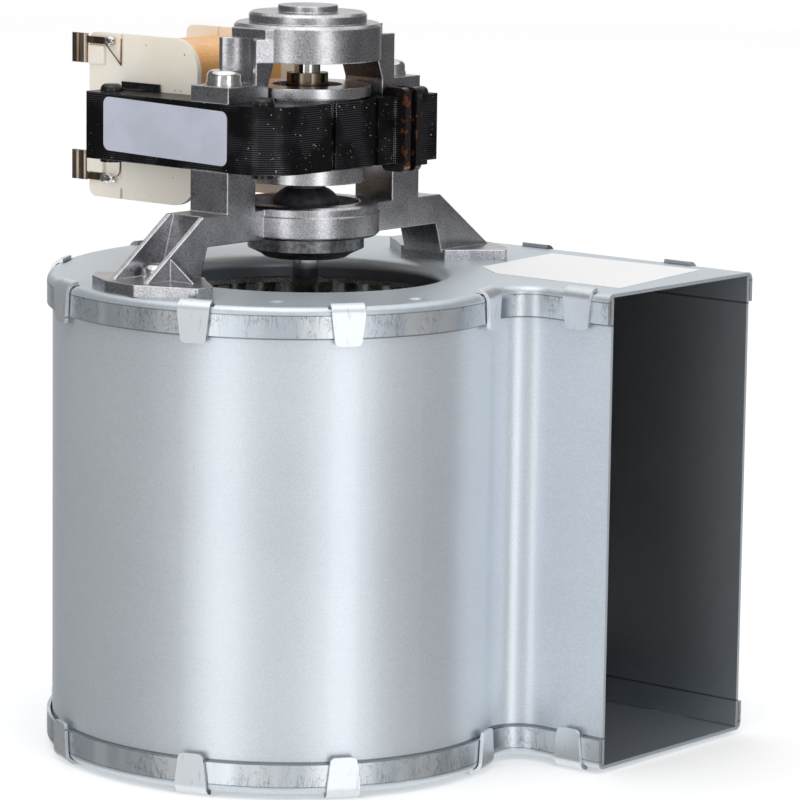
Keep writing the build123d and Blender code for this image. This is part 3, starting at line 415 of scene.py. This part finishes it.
def side_plate_finish(name, crease, inward):
    """crease is the height where the bend ends, and inward is -1 for the upper plate and 1 for the lower."""
    plate = galvanised(name, (30.0, 1.0, 1.0), light=(0.71, 0.78, 0.83), dark=(0.61, 0.67, 0.72))
    past = (along(plate, 2) - crease) * inward
    radius = (along(plate, 0) ** 2.0 + along(plate, 1) ** 2.0) ** 0.5
    rim = fade(plate, radius, INLET_R, INLET_R + 0.002)
    # Painted shade: faces that look into the blower are darkened, and the lip of the inlet most.
    inner_face = fade(plate, upward(plate) * inward, 0.3, 0.6)
    inlet_lip = (1.0 - rim) * fade(plate, past, -0.0004, 0.0012)
    darken_for_dust_and_shade(plate, inner_face * 0.35 + inlet_lip * 0.9)

    drawn = fade(plate, past, 0.0, 0.0002) * rim
    facets = grain(plate, 150.0, stretch=(1.0, 1.0, 0.02), detail=1.0)
    streaks = fade(plate, grain(plate, 2600.0, stretch=(1.0, 1.0, 0.14), detail=3.0), 0.52, 0.68)
    crowd = fade(plate, grain(plate, 130.0, stretch=(1.0, 1.0, 0.5), detail=3.0), 0.34, 0.56)
    by_crease = 1.0 - fade(plate, past, 0.0010, 0.0045)
    shapes = grain(plate, 420.0, stretch=(1.0, 1.0, 0.6), detail=4.0)
    outline = 1.0 - fade(plate, abs(shapes - 0.5), 0.006, 0.022)
    # Painted shade: a thin dark line along the crease, which the bump also sinks a little.
    line = (1.0 - fade(plate, abs(past - 0.0001), 0.00004, 0.00022)) * rim

    # The marks are streaks and water outlines, with the painted crease shade added.
    marks = drawn * (streaks * crowd * by_crease * 0.42 + outline * crowd * 0.34) + line * 0.60
    glaze = tint(plate, fade(plate, facets, 0.38, 0.62), *RIM_GLAZE)
    glazed = tint(plate, drawn * 0.7, plate.fed("Base Color"), glaze)
    plate.feed("Base Color", tint(plate, marks, glazed, RIM_MARK_AND_SHADE_COLOUR))
    plate.feed("Metallic", plate.fed("Metallic") + drawn * 0.18)
    plate.feed("Roughness", plate.fed("Roughness") - drawn * 0.03)
    height = facets * drawn * 4.0 - streaks * drawn * 0.3 - line * 2.0
    plate.feed("Normal", relief(plate, height, 0.00003, 0.4))
    return plate


side_plate_finish("galvanised_top_plate", TOP_CREASE, -1.0).cover("top_side_plate")
side_plate_finish("galvanised_bottom_plate", BOTTOM_CREASE, 1.0).cover("bottom_side_plate")

# %% [markdown]
# The wheel is made of thinner sheet of the same kind, darkened by oil and the dust in the air it moves.
# %% Wheel sheet
wheel_sheet = galvanised("dusty_wheel", (1.0, 1.0, 40.0), (0.66, 0.64, 0.61), (0.36, 0.34, 0.32), 0.28)
dust = fade(wheel_sheet, grain(wheel_sheet, 260.0, detail=4.0), 0.46, 0.66)
darken_for_dust_and_shade(wheel_sheet, dust, 0.35, (0.14, 0.12, 0.10))
wheel_sheet.cover("blades_upper", "blades_lower", "wheel_end_rings", "wheel_disc")

# %% [markdown]
# The brackets are die cast aluminium. A casting has a fine frosted skin with darker flow marks and pits,
# and its edges, rubbed by handling, are brighter than its faces; their near white colour is partly a
# painted highlight, the glint of light on the rounded edges.
# A plain grey metal would look like turned steel, so two grains of different size share out the light and
# dark, a third one makes the pits, and the corner mask paints the edges near white, as rubbed metal and as
# a painted highlight.
# %% Cast aluminium
def cast(name, light, dark, roughness, corner):
    """corner is how far the rubbed edges with their painted highlight reach, in metres."""
    metal = Finish(name, Metallic=1.0)
    rounded, edge = corners(metal, corner)
    skin = grain(metal, 2600.0, detail=3.0)
    flow = grain(metal, 190.0, detail=4.0)
    pits = fade(metal, grain(metal, 1300.0, detail=2.0), 0.70, 0.78)
    edge_rub_and_glint = fade(metal, grain(metal, 500.0, detail=3.0), 0.25, 0.55)
    body = tint(metal, fade(metal, skin * 0.65 + flow * 0.35, 0.36, 0.64), dark, light)
    pitted = tint(metal, pits * 0.8, body, (0.03, 0.03, 0.035))
    # Painted highlight: the edges are painted near white, partly as rubbed metal.
    metal.feed("Base Color", tint(metal, edge * (0.35 + edge_rub_and_glint * 0.65), pitted, (0.97, 0.97, 0.98)))
    metal.feed("Roughness", roughness - 0.08 + skin * 0.16)
    metal.feed("Normal", relief(metal, skin * 0.8 - pits * 0.5, 0.00002, 0.4, over=rounded))
    return metal


brackets = cast("cast_brackets", (0.70, 0.70, 0.73), (0.40, 0.40, 0.43), 0.30, 0.00045)
brackets.cover("lower_bracket", "upper_bracket")
rotor_rings = cast("cast_rotor_rings", (0.78, 0.78, 0.81), (0.60, 0.60, 0.63), 0.28, 0.0003)
rotor_rings.cover("rotor_end_rings")

# %% [markdown]
# The stator is a pile of punched sheets half a millimetre thick, dipped in black varnish. From the side the
# sheets show as fine level lines that catch the light, and the odd speck of dust lies in the varnish. The
# bright dots along the sharp upright edges are a painted highlight, glints painted near white into the
# colour.
# A sine of the height gives one ridge for each sheet. Only the ridges shine: the sine feeds the weight of
# the clear coat, over a base that hardly reflects, and the bump. It also paints the ridges lighter in
# patches, partly thin varnish and partly a painted highlight of the sheet edges.
# %% Black varnish over the sheet stack
SHEET = 0.0005

black = Finish("varnished_stack", Specular_IOR_Level=0.12, Coat_Roughness=0.13)
ridge = waves(black, 2, SHEET)
dull = grain(black, 110.0, detail=4.0)
dust = fade(black, grain(black, 1900.0, detail=1.0), 0.74, 0.78)
side = 1.0 - fade(black, abs(upward(black)), 0.3, 0.6)
edge = corners(black, 0.0003, 0.10, 0.35)[1]
bare = fade(black, dull, 0.40, 0.60)
# Painted highlight: the ridges are painted lighter in patches, partly as thin varnish.
worn_and_lit_ridges = ridge ** 4.0 * bare * side
base = tint(black, worn_and_lit_ridges * 0.6, (0.0030, 0.0030, 0.0040), (0.070, 0.070, 0.085))
# Painted highlight: glint dots painted near white along the sharp upright edges.
painted_glint_dots = tint(black, edge * side * ridge ** 2.0 * bare, base, (0.75, 0.73, 0.70))
black.feed("Base Color", tint(black, dust, painted_glint_dots, (0.55, 0.54, 0.52)))
black.feed("Roughness", 0.40 + dull * 0.20)
black.feed("Coat Weight", ridge ** 4.0 * side * (0.35 + bare * 0.65) + (1.0 - side) * 0.35)
black.feed("Normal", relief(black, ridge * side, 0.00006, 0.5))
black.cover("stator_stack", "core_bar")

# %% [markdown]
# The shading rings are bent from thick copper wire, and the varnish runs over them too: black in most
# places and brown copper where it is thin. One mask does both, in the colour and in Metallic, because
# varnish is no metal.
# %% Shading rings
ring = Finish("copper_under_varnish", Roughness=0.24, Coat_Weight=0.4)
thin = fade(ring, grain(ring, 380.0, detail=4.0), 0.56, 0.68)
ring.feed("Base Color", tint(ring, thin, (0.008, 0.006, 0.006), (0.36, 0.11, 0.04)))
ring.feed("Metallic", thin * 0.9)
ring.feed("Normal", relief(ring, grain(ring, 900.0), 0.00010, 0.6))
ring.cover("shading_rings")

# %% [markdown]
# The bobbin is natural nylon: creamy, slightly see-through and softly shiny, with a few black specks.
# Light scatters inside it, so a little subsurface is added to a warm colour that varies slowly.
# %% Natural nylon
SCATTER = {"Subsurface_Weight": 0.15, "Subsurface_Scale": 0.5, "Subsurface_Radius": (0.004, 0.0025, 0.0015)}

nylon = Finish("natural_nylon", **SCATTER)
warmth = grain(nylon, 45.0, detail=3.0)
specks = fade(nylon, grain(nylon, 650.0, detail=1.0), 0.76, 0.79)
cream = tint(nylon, fade(nylon, warmth, 0.35, 0.65), (0.90, 0.82, 0.70), (0.95, 0.89, 0.79))
nylon.feed("Base Color", tint(nylon, specks, cream, (0.16, 0.12, 0.09)))
nylon.feed("Roughness", 0.36 + warmth * 0.14)
nylon.feed("Normal", relief(nylon, grain(nylon, 300.0), 0.00004, 0.4))
nylon.cover("bobbin")

# %% [markdown]
# The coil is wound under a layer of orange tape. The turns of wire press through it as faint ridges, which
# are a sine along the coil.
# %% Taped coil
WIRE_PERIOD = 0.0007

tape = Finish("orange_coil_tape", Coat_Weight=0.15)
wire = waves(tape, 0, WIRE_PERIOD)
stain = grain(tape, 220.0, detail=4.0)
fibre = grain(tape, 1600.0, stretch=(1.0, 1.0, 0.2))
blotches = fade(tape, stain * 0.6 + fibre * 0.4, 0.36, 0.64)
tape.feed("Base Color", tint(tape, blotches, (0.93, 0.44, 0.14), (1.0, 0.57, 0.23)))
tape.feed("Roughness", 0.30 + fibre * 0.2)
tape.feed("Normal", relief(tape, wire * 0.6 + fibre * 0.4, 0.00008, 0.6))
tape.cover("winding")

# %% [markdown]
# Small steel parts differ mostly in shine and in what covers them: bright zinc on the screws, a ground
# shaft with fine rings, blackened pressings, and tin over brass on the terminals.
# One helper makes them all from a few numbers, so that they look like one family.
# %% Screws and the turned parts
RINGS = (1.0, 1.0, 60.0)


def metal_part(name, light, dark, roughness, scale, stretch=(1.0, 1.0, 1.0), depth=0.00002, metallic=1.0):
    """Marks of 1 / scale metres vary the colour, the shine and, up to depth, the height."""
    part = Finish(name, Metallic=metallic)
    marks = grain(part, scale, stretch=stretch, detail=3.0)
    part.feed("Base Color", tint(part, fade(part, marks, 0.35, 0.65), dark, light))
    part.feed("Roughness", roughness - 0.05 + marks * 0.10)
    part.feed("Normal", relief(part, marks, depth, 0.5))
    return part


zinc = metal_part("bright_zinc", (0.92, 0.92, 0.90), (0.70, 0.70, 0.70), 0.16, 700.0, depth=0.00004)
zinc.cover("stack_screws", "foot_screws", "stack_washers")
ground = metal_part("ground_shaft", (0.66, 0.65, 0.64), (0.52, 0.51, 0.50), 0.07, 60.0, RINGS, 0.000004)
ground.cover("shaft")
turned = metal_part("turned_hub", (0.66, 0.66, 0.66), (0.52, 0.52, 0.52), 0.26, 60.0, RINGS)
turned.cover("wheel_hub")
sheets = metal_part("rotor_sheets", (0.30, 0.30, 0.32), (0.16, 0.16, 0.17), 0.35, 60.0, RINGS)
sheets.cover("rotor_core")

# %% [markdown]
# The bearings are pressed from bronze powder, so they are dull and grainy, and their retainers are thin
# spring steel. The cup under the lower one was blackened in a bath.
# The rivets went through the varnish with the stack, which makes them black and no metal to the eye.
# %% Bearings, pressings and rivets
bronze = metal_part("sintered_bronze", (0.30, 0.22, 0.13), (0.12, 0.09, 0.06), 0.42, 1800.0)
bronze.cover("lower_bearing", "upper_bearing")
spring = metal_part("spring_steel", (0.42, 0.41, 0.40), (0.28, 0.27, 0.27), 0.30, 300.0)
spring.cover("lower_retainer", "upper_retainer")
blued = metal_part("blackened_steel", (0.30, 0.30, 0.31), (0.16, 0.16, 0.17), 0.32, 900.0, depth=0.00003)
blued.cover("bearing_cup", "set_screw")
TAR = (0.020, 0.018, 0.020), (0.006, 0.006, 0.007)
tar = metal_part("varnished_rivets", *TAR, 0.20, 400.0, metallic=0.0)
tar.cover("stack_rivets")

# %% [markdown]
# The slinger throws oil off the shaft and is black from it. The spacer above the rotor is brown with old
# oil that ran down it, and the terminals are stamped from brass and tinned, and have gone brown too.
# %% Slinger, spacer and terminals
UPRIGHT = (1.0, 1.0, 0.15)
OILY = (0.075, 0.075, 0.085), (0.035, 0.035, 0.042)

slinger = metal_part("dark_slinger", *OILY, 0.42, 500.0, metallic=0.25)
slinger.cover("oil_slinger")
spacer = metal_part("dark_spacer", (0.30, 0.24, 0.17), (0.06, 0.05, 0.045), 0.24, 240.0, UPRIGHT)
spacer.cover("rotor_spacer")
tinned = metal_part("tinned_brass", (0.72, 0.62, 0.51), (0.24, 0.17, 0.12), 0.22, 300.0, UPRIGHT, 0.00005)
tinned.cover("terminal_upper", "terminal_lower")

# %% [markdown]
# New pieces are drawn in a bmesh, which holds the points and faces while operators shape them. The finished
# mesh goes to an object that stays at the origin, as the solids do, and rides on the housing.
# Most flat things start as one face that is drawn out: an extrusion makes the new points in place, and a
# second step moves them.
# %% Turn a bmesh into a piece
def new_object(name, shape):
    """Moves the bmesh into a mesh on an object at the origin."""
    mesh = bpy.data.meshes.new(name)
    shape.to_mesh(mesh)
    shape.free()
    made = bpy.data.objects.new(name, mesh)
    bpy.context.scene.collection.objects.link(made)
    return made


def make_piece(name, shape, finish, smooth=False):
    """Makes a piece of the housing."""
    bmesh.ops.recalc_face_normals(shape, faces=shape.faces)
    piece = new_object(name, shape)
    if smooth:
        piece.data.shade_smooth()
    piece.data.materials.append(finish.material)
    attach(piece, "housing")
    print(name, len(piece.data.vertices), "points", len(piece.data.polygons), "faces")


def draw_out(shape, drawn, vector):
    """Moves the points that an extrusion has just made."""
    raised = [part for part in drawn["geom"] if isinstance(part, bmesh.types.BMVert)]
    bmesh.ops.translate(shape, vec=vector, verts=raised)


print("pieces ride on the housing")

# %% [markdown]
# The motor has a type label on the near side of the sheet stack, a lavender grey foil with round corners,
# stuck on a little askew.
# It is a flat plate: a face drawn through four corners, its corner points bevelled round, then drawn out by
# a tenth of a millimetre.
# %% Motor label
LABEL_CORNERS = ((-0.0370, 0.13775), (0.0015, 0.13685), (0.0015, 0.14925), (-0.0370, 0.15015))
LABEL_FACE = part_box("stator_stack")[0].y - 0.00001
LABEL_THICK = 0.00012
LABEL_ROUND = 0.0017

foil = Finish("lavender_foil")
haze = grain(foil, 120.0, detail=3.0)
foil.feed("Base Color", tint(foil, fade(foil, haze, 0.35, 0.65), (0.47, 0.49, 0.58), (0.52, 0.54, 0.64)))
foil.feed("Roughness", 0.30 + haze * 0.12)
foil.feed("Normal", relief(foil, haze, 0.00006, 0.4))

shape = bmesh.new()
points = [shape.verts.new((x, LABEL_FACE, z)) for x, z in LABEL_CORNERS]
shape.faces.new(points)
rounding = {"offset": LABEL_ROUND, "segments": 7, "profile": 0.5, "affect": "VERTICES", "material": -1}
bmesh.ops.bevel(shape, geom=points, **rounding)
draw_out(shape, bmesh.ops.extrude_face_region(shape, geom=shape.faces[:]), (0.0, -LABEL_THICK, 0.0))
make_piece("motor_label", shape, foil)

# %% [markdown]
# A second label of white paper lies on the flat of the upper side plate, next to the mouth. Its near left
# corner is cut off. It is one face drawn through five points, thickened by an extrusion.
# %% Paper label on the side plate
PAPER_CORNERS = ((0.0232, 0.0365), (0.0327, 0.0299), (0.0684, 0.0305), (0.0625, 0.0694), (0.0198, 0.0674))
PAPER_LEVEL = 0.11002
PAPER_THICK = 0.00010

paper = Finish("white_paper")
fibres = grain(paper, 500.0, detail=4.0)
paper.feed("Base Color", tint(paper, fibres, (0.97, 0.97, 0.98), (1.0, 1.0, 1.0)))
paper.feed("Roughness", 0.50 + fibres * 0.1)
paper.feed("Normal", relief(paper, fibres, 0.00003, 0.4))

shape = bmesh.new()
shape.faces.new([shape.verts.new((x, y, PAPER_LEVEL)) for x, y in PAPER_CORNERS])
draw_out(shape, bmesh.ops.extrude_face_region(shape, geom=shape.faces[:]), (0.0, 0.0, PAPER_THICK))
make_piece("paper_label", shape, paper)

# %% [markdown]
# Round each terminal the near cheek of the bobbin carries a raised block that the strip is clipped under.
# A block starts as a cube, is scaled and moved to its place, and gets soft moulded edges from a bevel.
# %% Terminal blocks of the bobbin
CHEEK_FACE = -0.0174
SUNK = 0.0002
BLOCK_X = (-0.0529, -0.0476)
BLOCKS = ((0.0009, 0.1306, 0.1348), (0.0006, 0.1560, 0.1605))


def block(shape, low, high, ease):
    """Adds a box between two corners, its edges rounded by ease."""
    low, high = Vector(low), Vector(high)
    corner_points = bmesh.ops.create_cube(shape, size=1.0)["verts"]
    bmesh.ops.scale(shape, vec=high - low, verts=corner_points)
    bmesh.ops.translate(shape, vec=(low + high) / 2, verts=corner_points)
    rims = list({rim for point in corner_points for rim in point.link_edges})
    bmesh.ops.bevel(shape, geom=rims, offset=ease, segments=3, profile=0.5, affect="EDGES", material=-1)


shape = bmesh.new()
for proud, foot, head in BLOCKS:
    near_corner = (BLOCK_X[0], CHEEK_FACE - proud, foot)
    far_corner = (BLOCK_X[1], CHEEK_FACE + SUNK, head)
    block(shape, near_corner, far_corner, 0.0003)
make_piece("terminal_blocks", shape, nylon)

# %% [markdown]
# Each terminal tab is folded back on itself from both sides, so two flat rolls meet in the middle of its
# face. A roll is a cylinder squashed to half its depth, and is sunk half into the plain tab of the solid.
# %% Folds of the terminal tabs
FOLD_R = 0.00112
FOLD_INSET = 0.0001
TAB_WIDTH, TAB_TALL = 0.0046, 0.0068
SQUASH = Matrix.Diagonal((1.0, 0.45, 1.0, 1.0))

shape = bmesh.new()
cylinder = {"cap_ends": True, "segments": 28, "radius1": FOLD_R, "radius2": FOLD_R, "depth": TAB_TALL}
for node in ("terminal_upper", "terminal_lower"):
    low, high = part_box(node)
    for x in (low.x + FOLD_R, low.x + TAB_WIDTH - FOLD_R):
        matrix = Matrix.Translation((x, low.y + FOLD_INSET, (low.z + high.z) / 2)) @ SQUASH
        bmesh.ops.create_cone(shape, matrix=matrix, **cylinder)
make_piece("terminal_folds", shape, tinned)

# %% [markdown]
# The ends of the winding come out through slits in the cheek and are soldered to the strips. Solder sets as
# a shiny lump, so each joint is an icosphere stretched to size and made uneven by noise, point by point.
# %% Solder joints
JOINTS = (
    ((-0.0453, -0.0184, 0.1619), (0.0014, 0.0008, 0.0010)),
    ((-0.0459, -0.0184, 0.1294), (0.0025, 0.0009, 0.0011)),
)
UNEVEN = 0.22

solder = metal_part("solder", (0.95, 0.95, 0.96), (0.55, 0.55, 0.57), 0.12, 900.0, depth=0.0001)
shape = bmesh.new()
for centre, reach in JOINTS:
    lump = bmesh.ops.create_icosphere(shape, subdivisions=4, radius=1.0)["verts"]
    for point in lump:
        point.co *= 1.0 + UNEVEN * noise.noise(point.co * 1.7 + Vector(centre) * 1000.0)
    bmesh.ops.scale(shape, vec=reach, verts=lump)
    bmesh.ops.translate(shape, vec=centre, verts=lump)
make_piece("solder_joints", shape, solder, smooth=True)

# %% [markdown]
# The wire itself is enamelled copper, a third of a millimetre thick. A round face is drawn out from one
# point of its path to the next. Each extrusion leaves the face that it started from, and inside the tube
# such a face is taken out again.
# %% Winding ends
WIRE_R = 0.00016
WIRE_PATHS = (
    ((-0.0424, -0.01755, 0.1624), (-0.0424, -0.01765, 0.1590), (-0.0424, -0.01765, 0.1562)),
    ((-0.0466, -0.0186, 0.1612), (-0.0448, -0.0181, 0.1590), (-0.0425, -0.01765, 0.1564)),
    (
        (-0.0426, -0.01755, 0.1344),
        (-0.0426, -0.01765, 0.1312),
        (-0.0430, -0.0180, 0.1302),
        (-0.0448, -0.0184, 0.1298),
    ),
)

enamel = metal_part("enamelled_wire", (0.42, 0.16, 0.07), (0.20, 0.07, 0.03), 0.25, 500.0)
shape = bmesh.new()
for path in WIRE_PATHS:
    path = [Vector(point) for point in path]
    heading = (path[1] - path[0]).normalized()
    matrix = Matrix.Translation(path[0]) @ heading.to_track_quat("Z", "Y").to_matrix().to_4x4()
    bmesh.ops.create_circle(shape, cap_ends=True, radius=WIRE_R, segments=10, matrix=matrix)
    cap = shape.faces[:][-1]
    for start, end in zip(path, path[1:]):
        drawn = bmesh.ops.extrude_face_region(shape, geom=[cap])
        draw_out(shape, drawn, end - start)
        if start is not path[0]:
            bmesh.ops.delete(shape, geom=[cap], context="FACES_ONLY")
        cap = [part for part in drawn["geom"] if isinstance(part, bmesh.types.BMFace)][0]
make_piece("winding_ends", shape, enamel, smooth=True)

# %% [markdown]
# A flap of black insulation stands between the stack and the near cheek and is folded flat onto the stack.
# It is two thin blocks that overlap in the fold.
# %% Insulation flap
STACK_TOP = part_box("stator_stack")[1].z
FLAP_X = -0.0418

flap = Finish("black_insulation", Roughness=0.30)
crinkle = grain(flap, 500.0, detail=3.0)
crests = fade(flap, crinkle, 0.4, 0.7)
flap.feed("Base Color", tint(flap, crests, (0.008, 0.008, 0.010), (0.030, 0.030, 0.034)))
flap.feed("Normal", relief(flap, crinkle, 0.0001, 0.5))

shape = bmesh.new()
block(shape, (FLAP_X, -0.01815, STACK_TOP), (-0.0296, -0.01775, STACK_TOP + 0.0017), 0.0001)
block(shape, (FLAP_X, -0.0206, STACK_TOP), (-0.0330, -0.0179, STACK_TOP + 0.0003), 0.0001)
make_piece("insulation_flap", shape, flap)

# %% [markdown]
# The screws have cross recesses. Cutting them by hand into a round head would need many new faces, and a
# Boolean modifier finds those by itself. The cutter is two bars per head, narrower at the foot.
# %% Cutter for the cross recesses
BAR_TALL = 0.003
CROSS_TURN = 20.0


def cross_cutter(name, places, top, reach):
    """Two crossed bars of the given reach, half sunk below top, at each place."""
    shape = bmesh.new()
    for x, y in places:
        for turn in (0.0, 90.0):
            bar = bmesh.ops.create_cube(shape, size=1.0)["verts"]
            bmesh.ops.scale(shape, vec=(reach * 2.0, reach * 0.42, BAR_TALL), verts=bar)
            feet = [point for point in bar if point.co.z < 0.0]
            bmesh.ops.scale(shape, vec=(0.45, 0.6, 1.0), verts=feet)
            matrix = Matrix.Rotation(math.radians(turn + CROSS_TURN), 3, "Z")
            bmesh.ops.rotate(shape, cent=(0, 0, 0), matrix=matrix, verts=bar)
            bmesh.ops.translate(shape, vec=(x, y, top), verts=bar)
    bmesh.ops.recalc_face_normals(shape, faces=shape.faces)
    return new_object(name, shape)


print("a cutter for cross recesses")

# %% [markdown]
# The cut mesh stands in for the solid in the picture, while the solid stays in the physics model as it is.
# The solid's mesh is loose triangles, so a copy of it is merged before the cut. The result of the modifier
# is kept as a plain mesh, and the cutter is thrown away.
# %% Screws with cross recesses
MERGE_WITHIN = 0.000002
STACK_PLACES = ((-0.0039, -0.024), (0.0039, 0.024))
FOOT_PLACES = ((-0.0039, -0.046), (0.0039, 0.046))
STACK_HEAD_TOP, FOOT_HEAD_TOP = 0.1582, 0.1159
STACK_CROSS, FOOT_CROSS = 0.0021, 0.0018


def recessed(node, places, top, reach, name):
    """Cuts a cross into the head at each place and shows the result for the node."""
    cutter = cross_cutter(name + "_cutter", places, top, reach)
    shape = bmesh.new()
    shape.from_mesh(nodes[node].data)
    bmesh.ops.remove_doubles(shape, verts=shape.verts, dist=MERGE_WITHIN)
    piece = new_object(name, shape)
    cut = piece.modifiers.new("recess", "BOOLEAN")
    cut.operation, cut.object, cut.solver, cut.use_self = "DIFFERENCE", cutter, "EXACT", True
    graph = bpy.context.evaluated_depsgraph_get()
    done = bpy.data.meshes.new_from_object(piece.evaluated_get(graph))
    piece.modifiers.clear()
    piece.data = done
    done.name = name
    bpy.data.objects.remove(cutter)
    done.materials.clear()
    done.materials.append(zinc.material)
    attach(piece, "housing")
    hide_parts(node)
    print(name, len(done.vertices), "points", len(done.polygons), "faces")


recessed("stack_screws", STACK_PLACES, STACK_HEAD_TOP, STACK_CROSS, "stack_screws_crossed")
recessed("foot_screws", FOOT_PLACES, FOOT_HEAD_TOP, FOOT_CROSS, "foot_screws_crossed")

# %% [markdown]
# The object stands on a white floor that runs out to a white world, so no horizon shows.
# The floor is white paint that keeps the object's shadow. Towards the camera it also glows a little, which
# lifts it to the white of the world without adding light to the object.
# %% Floor
FLOOR_GLOW = 0.22
FLOOR_HALF, FLOOR_DROP = 6.0, 0.0002

shape = bmesh.new()
bmesh.ops.create_grid(shape, x_segments=1, y_segments=1, size=FLOOR_HALF)
floor = new_object("floor", shape)
floor.location.z = solid_box[0].z - FLOOR_DROP
floor.visible_glossy = False

white = Finish("white_floor", Roughness=0.9, Base_Color=(0.95, 0.95, 0.95, 1.0), Emission_Strength=1.0)
white.feed("Emission Color", white.node("ShaderNodeLightPath", output="Is Camera Ray") * FLOOR_GLOW)
floor.data.materials.append(white.material)
print("floor at", floor.location.z, "m")

# %% [markdown]
# The world is white to the camera, in mirrors and through glass, and lights rough surfaces more gently. The
# Light Path node tells which kind of ray asks, and the mask of all three kinds sets the strength.
# %% World
WORLD_LIGHT = 0.78

world = bpy.data.worlds.new("studio")
world.use_nodes = True
bpy.context.scene.world = world
sky = Tree(world.node_tree)
shown = sky.node("ShaderNodeLightPath", output="Is Camera Ray")
for kind in ("Is Glossy Ray", "Is Transmission Ray"):
    shown = shown.most(sky.node("ShaderNodeLightPath", output=kind))
sky.connect(WORLD_LIGHT + shown * (1.0 - WORLD_LIGHT), "Background", "Strength")
world.node_tree.nodes["Background"].inputs["Color"].default_value = (1.0, 1.0, 1.0, 1.0)
print("world gives", WORLD_LIGHT, "to rough surfaces")

# %% [markdown]
# Polished and galvanised metal shows what stands round it. A photographer puts white paper behind such an
# object and leaves the room beside it dim, so faces turned sideways go dark while the plate on top is pale.
# The cloth here is a wide cylinder, a circle drawn upward. Only reflections see it, so that it neither
# hides the object from other sides nor casts a shadow.
# %% Cloth tent for the reflections
TENT_R, TENT_LOW, TENT_TALL = 2.2, -1.4, 3.4

shape = bmesh.new()
bmesh.ops.create_circle(shape, cap_ends=False, radius=TENT_R, segments=96)
draw_out(shape, bmesh.ops.extrude_edge_only(shape, edges=shape.edges[:]), (0.0, 0.0, TENT_TALL))
bmesh.ops.translate(shape, vec=(0.0, 0.0, TENT_LOW), verts=shape.verts)
tent = new_object("tent", shape)
tent.visible_camera = False
tent.visible_diffuse = False
tent.visible_transmission = False
tent.visible_shadow = False
print("tent of radius", TENT_R, "m")

# %% [markdown]
# The cloth glows by the side it stands on: most behind the object, less in front and least at the sides.
# Its place along the camera's bearing, as a share of the radius, says which side that is.
# %% Glow of the cloth
VIEW_BEARING = math.degrees(math.atan2(camera.location.y, camera.location.x))
SIDE_GLOW, FRONT_GLOW, BACK_GLOW = 0.13, 0.36, 0.62

cloth = Finish("tent_cloth")
toward = Vector((math.cos(math.radians(VIEW_BEARING)), math.sin(math.radians(VIEW_BEARING))))
facing = (along(cloth, 0) * toward.x + along(cloth, 1) * toward.y) / TENT_R
in_front = fade(cloth, facing, 0.30, 1.0)
behind = fade(cloth, 0.0 - facing, 0.86, 1.0)
glow = SIDE_GLOW + in_front * FRONT_GLOW + behind * BACK_GLOW
cloth.connect(cloth.node("ShaderNodeEmission", values={"Strength": glow}), "Material Output", "Surface")
tent.data.materials.append(cloth.material)
print("the camera's bearing is", round(VIEW_BEARING, 1), "degrees")

# %% [markdown]
# Two tall softboxes stand in front, one left and one right of the camera, and a broad one hangs overhead.
# The tall ones give the drum its two upright bands of light, and the broad one fills the top.
# The energy of an area lamp is spread over its area, so it is worked out from the brightness of its face.
# %% Softboxes
AIM = Vector((0.0, 0.0, 0.08))


def softbox(name, bearing, height, width, tall, brightness, distance):
    """bearing is counted from the camera's own, in degrees, positive to the right of it."""
    angle = math.radians(VIEW_BEARING + bearing)
    place = Vector((distance * math.cos(angle), distance * math.sin(angle), height))
    lamp = bpy.data.lights.new(name, "AREA")
    lamp.shape = "RECTANGLE"
    lamp.size, lamp.size_y = width, tall
    lamp.energy = brightness * math.pi * width * tall
    box = bpy.data.objects.new(name, lamp)
    turned_to = (AIM - place).to_track_quat("-Z", "Y").to_matrix().to_4x4()
    box.matrix_world = Matrix.Translation(place) @ turned_to
    bpy.context.scene.collection.objects.link(box)
    print(name, "at", [round(v, 2) for v in place], "gives", round(lamp.energy, 2), "W")


softbox("left_softbox", -33.5, 0.0, 0.50, 2.0, 1.32, 1.7)
softbox("right_softbox", 28.0, 0.0, 0.60, 2.0, 1.32, 1.7)
softbox("top_softbox", -20.0, 1.7, 1.3, 1.3, 1.1, 0.5)

# %% [markdown]
# The colours are to be shown as they are written, so the view transform is Standard.
# %% Finish
bpy.context.scene.view_settings.view_transform = "Standard"
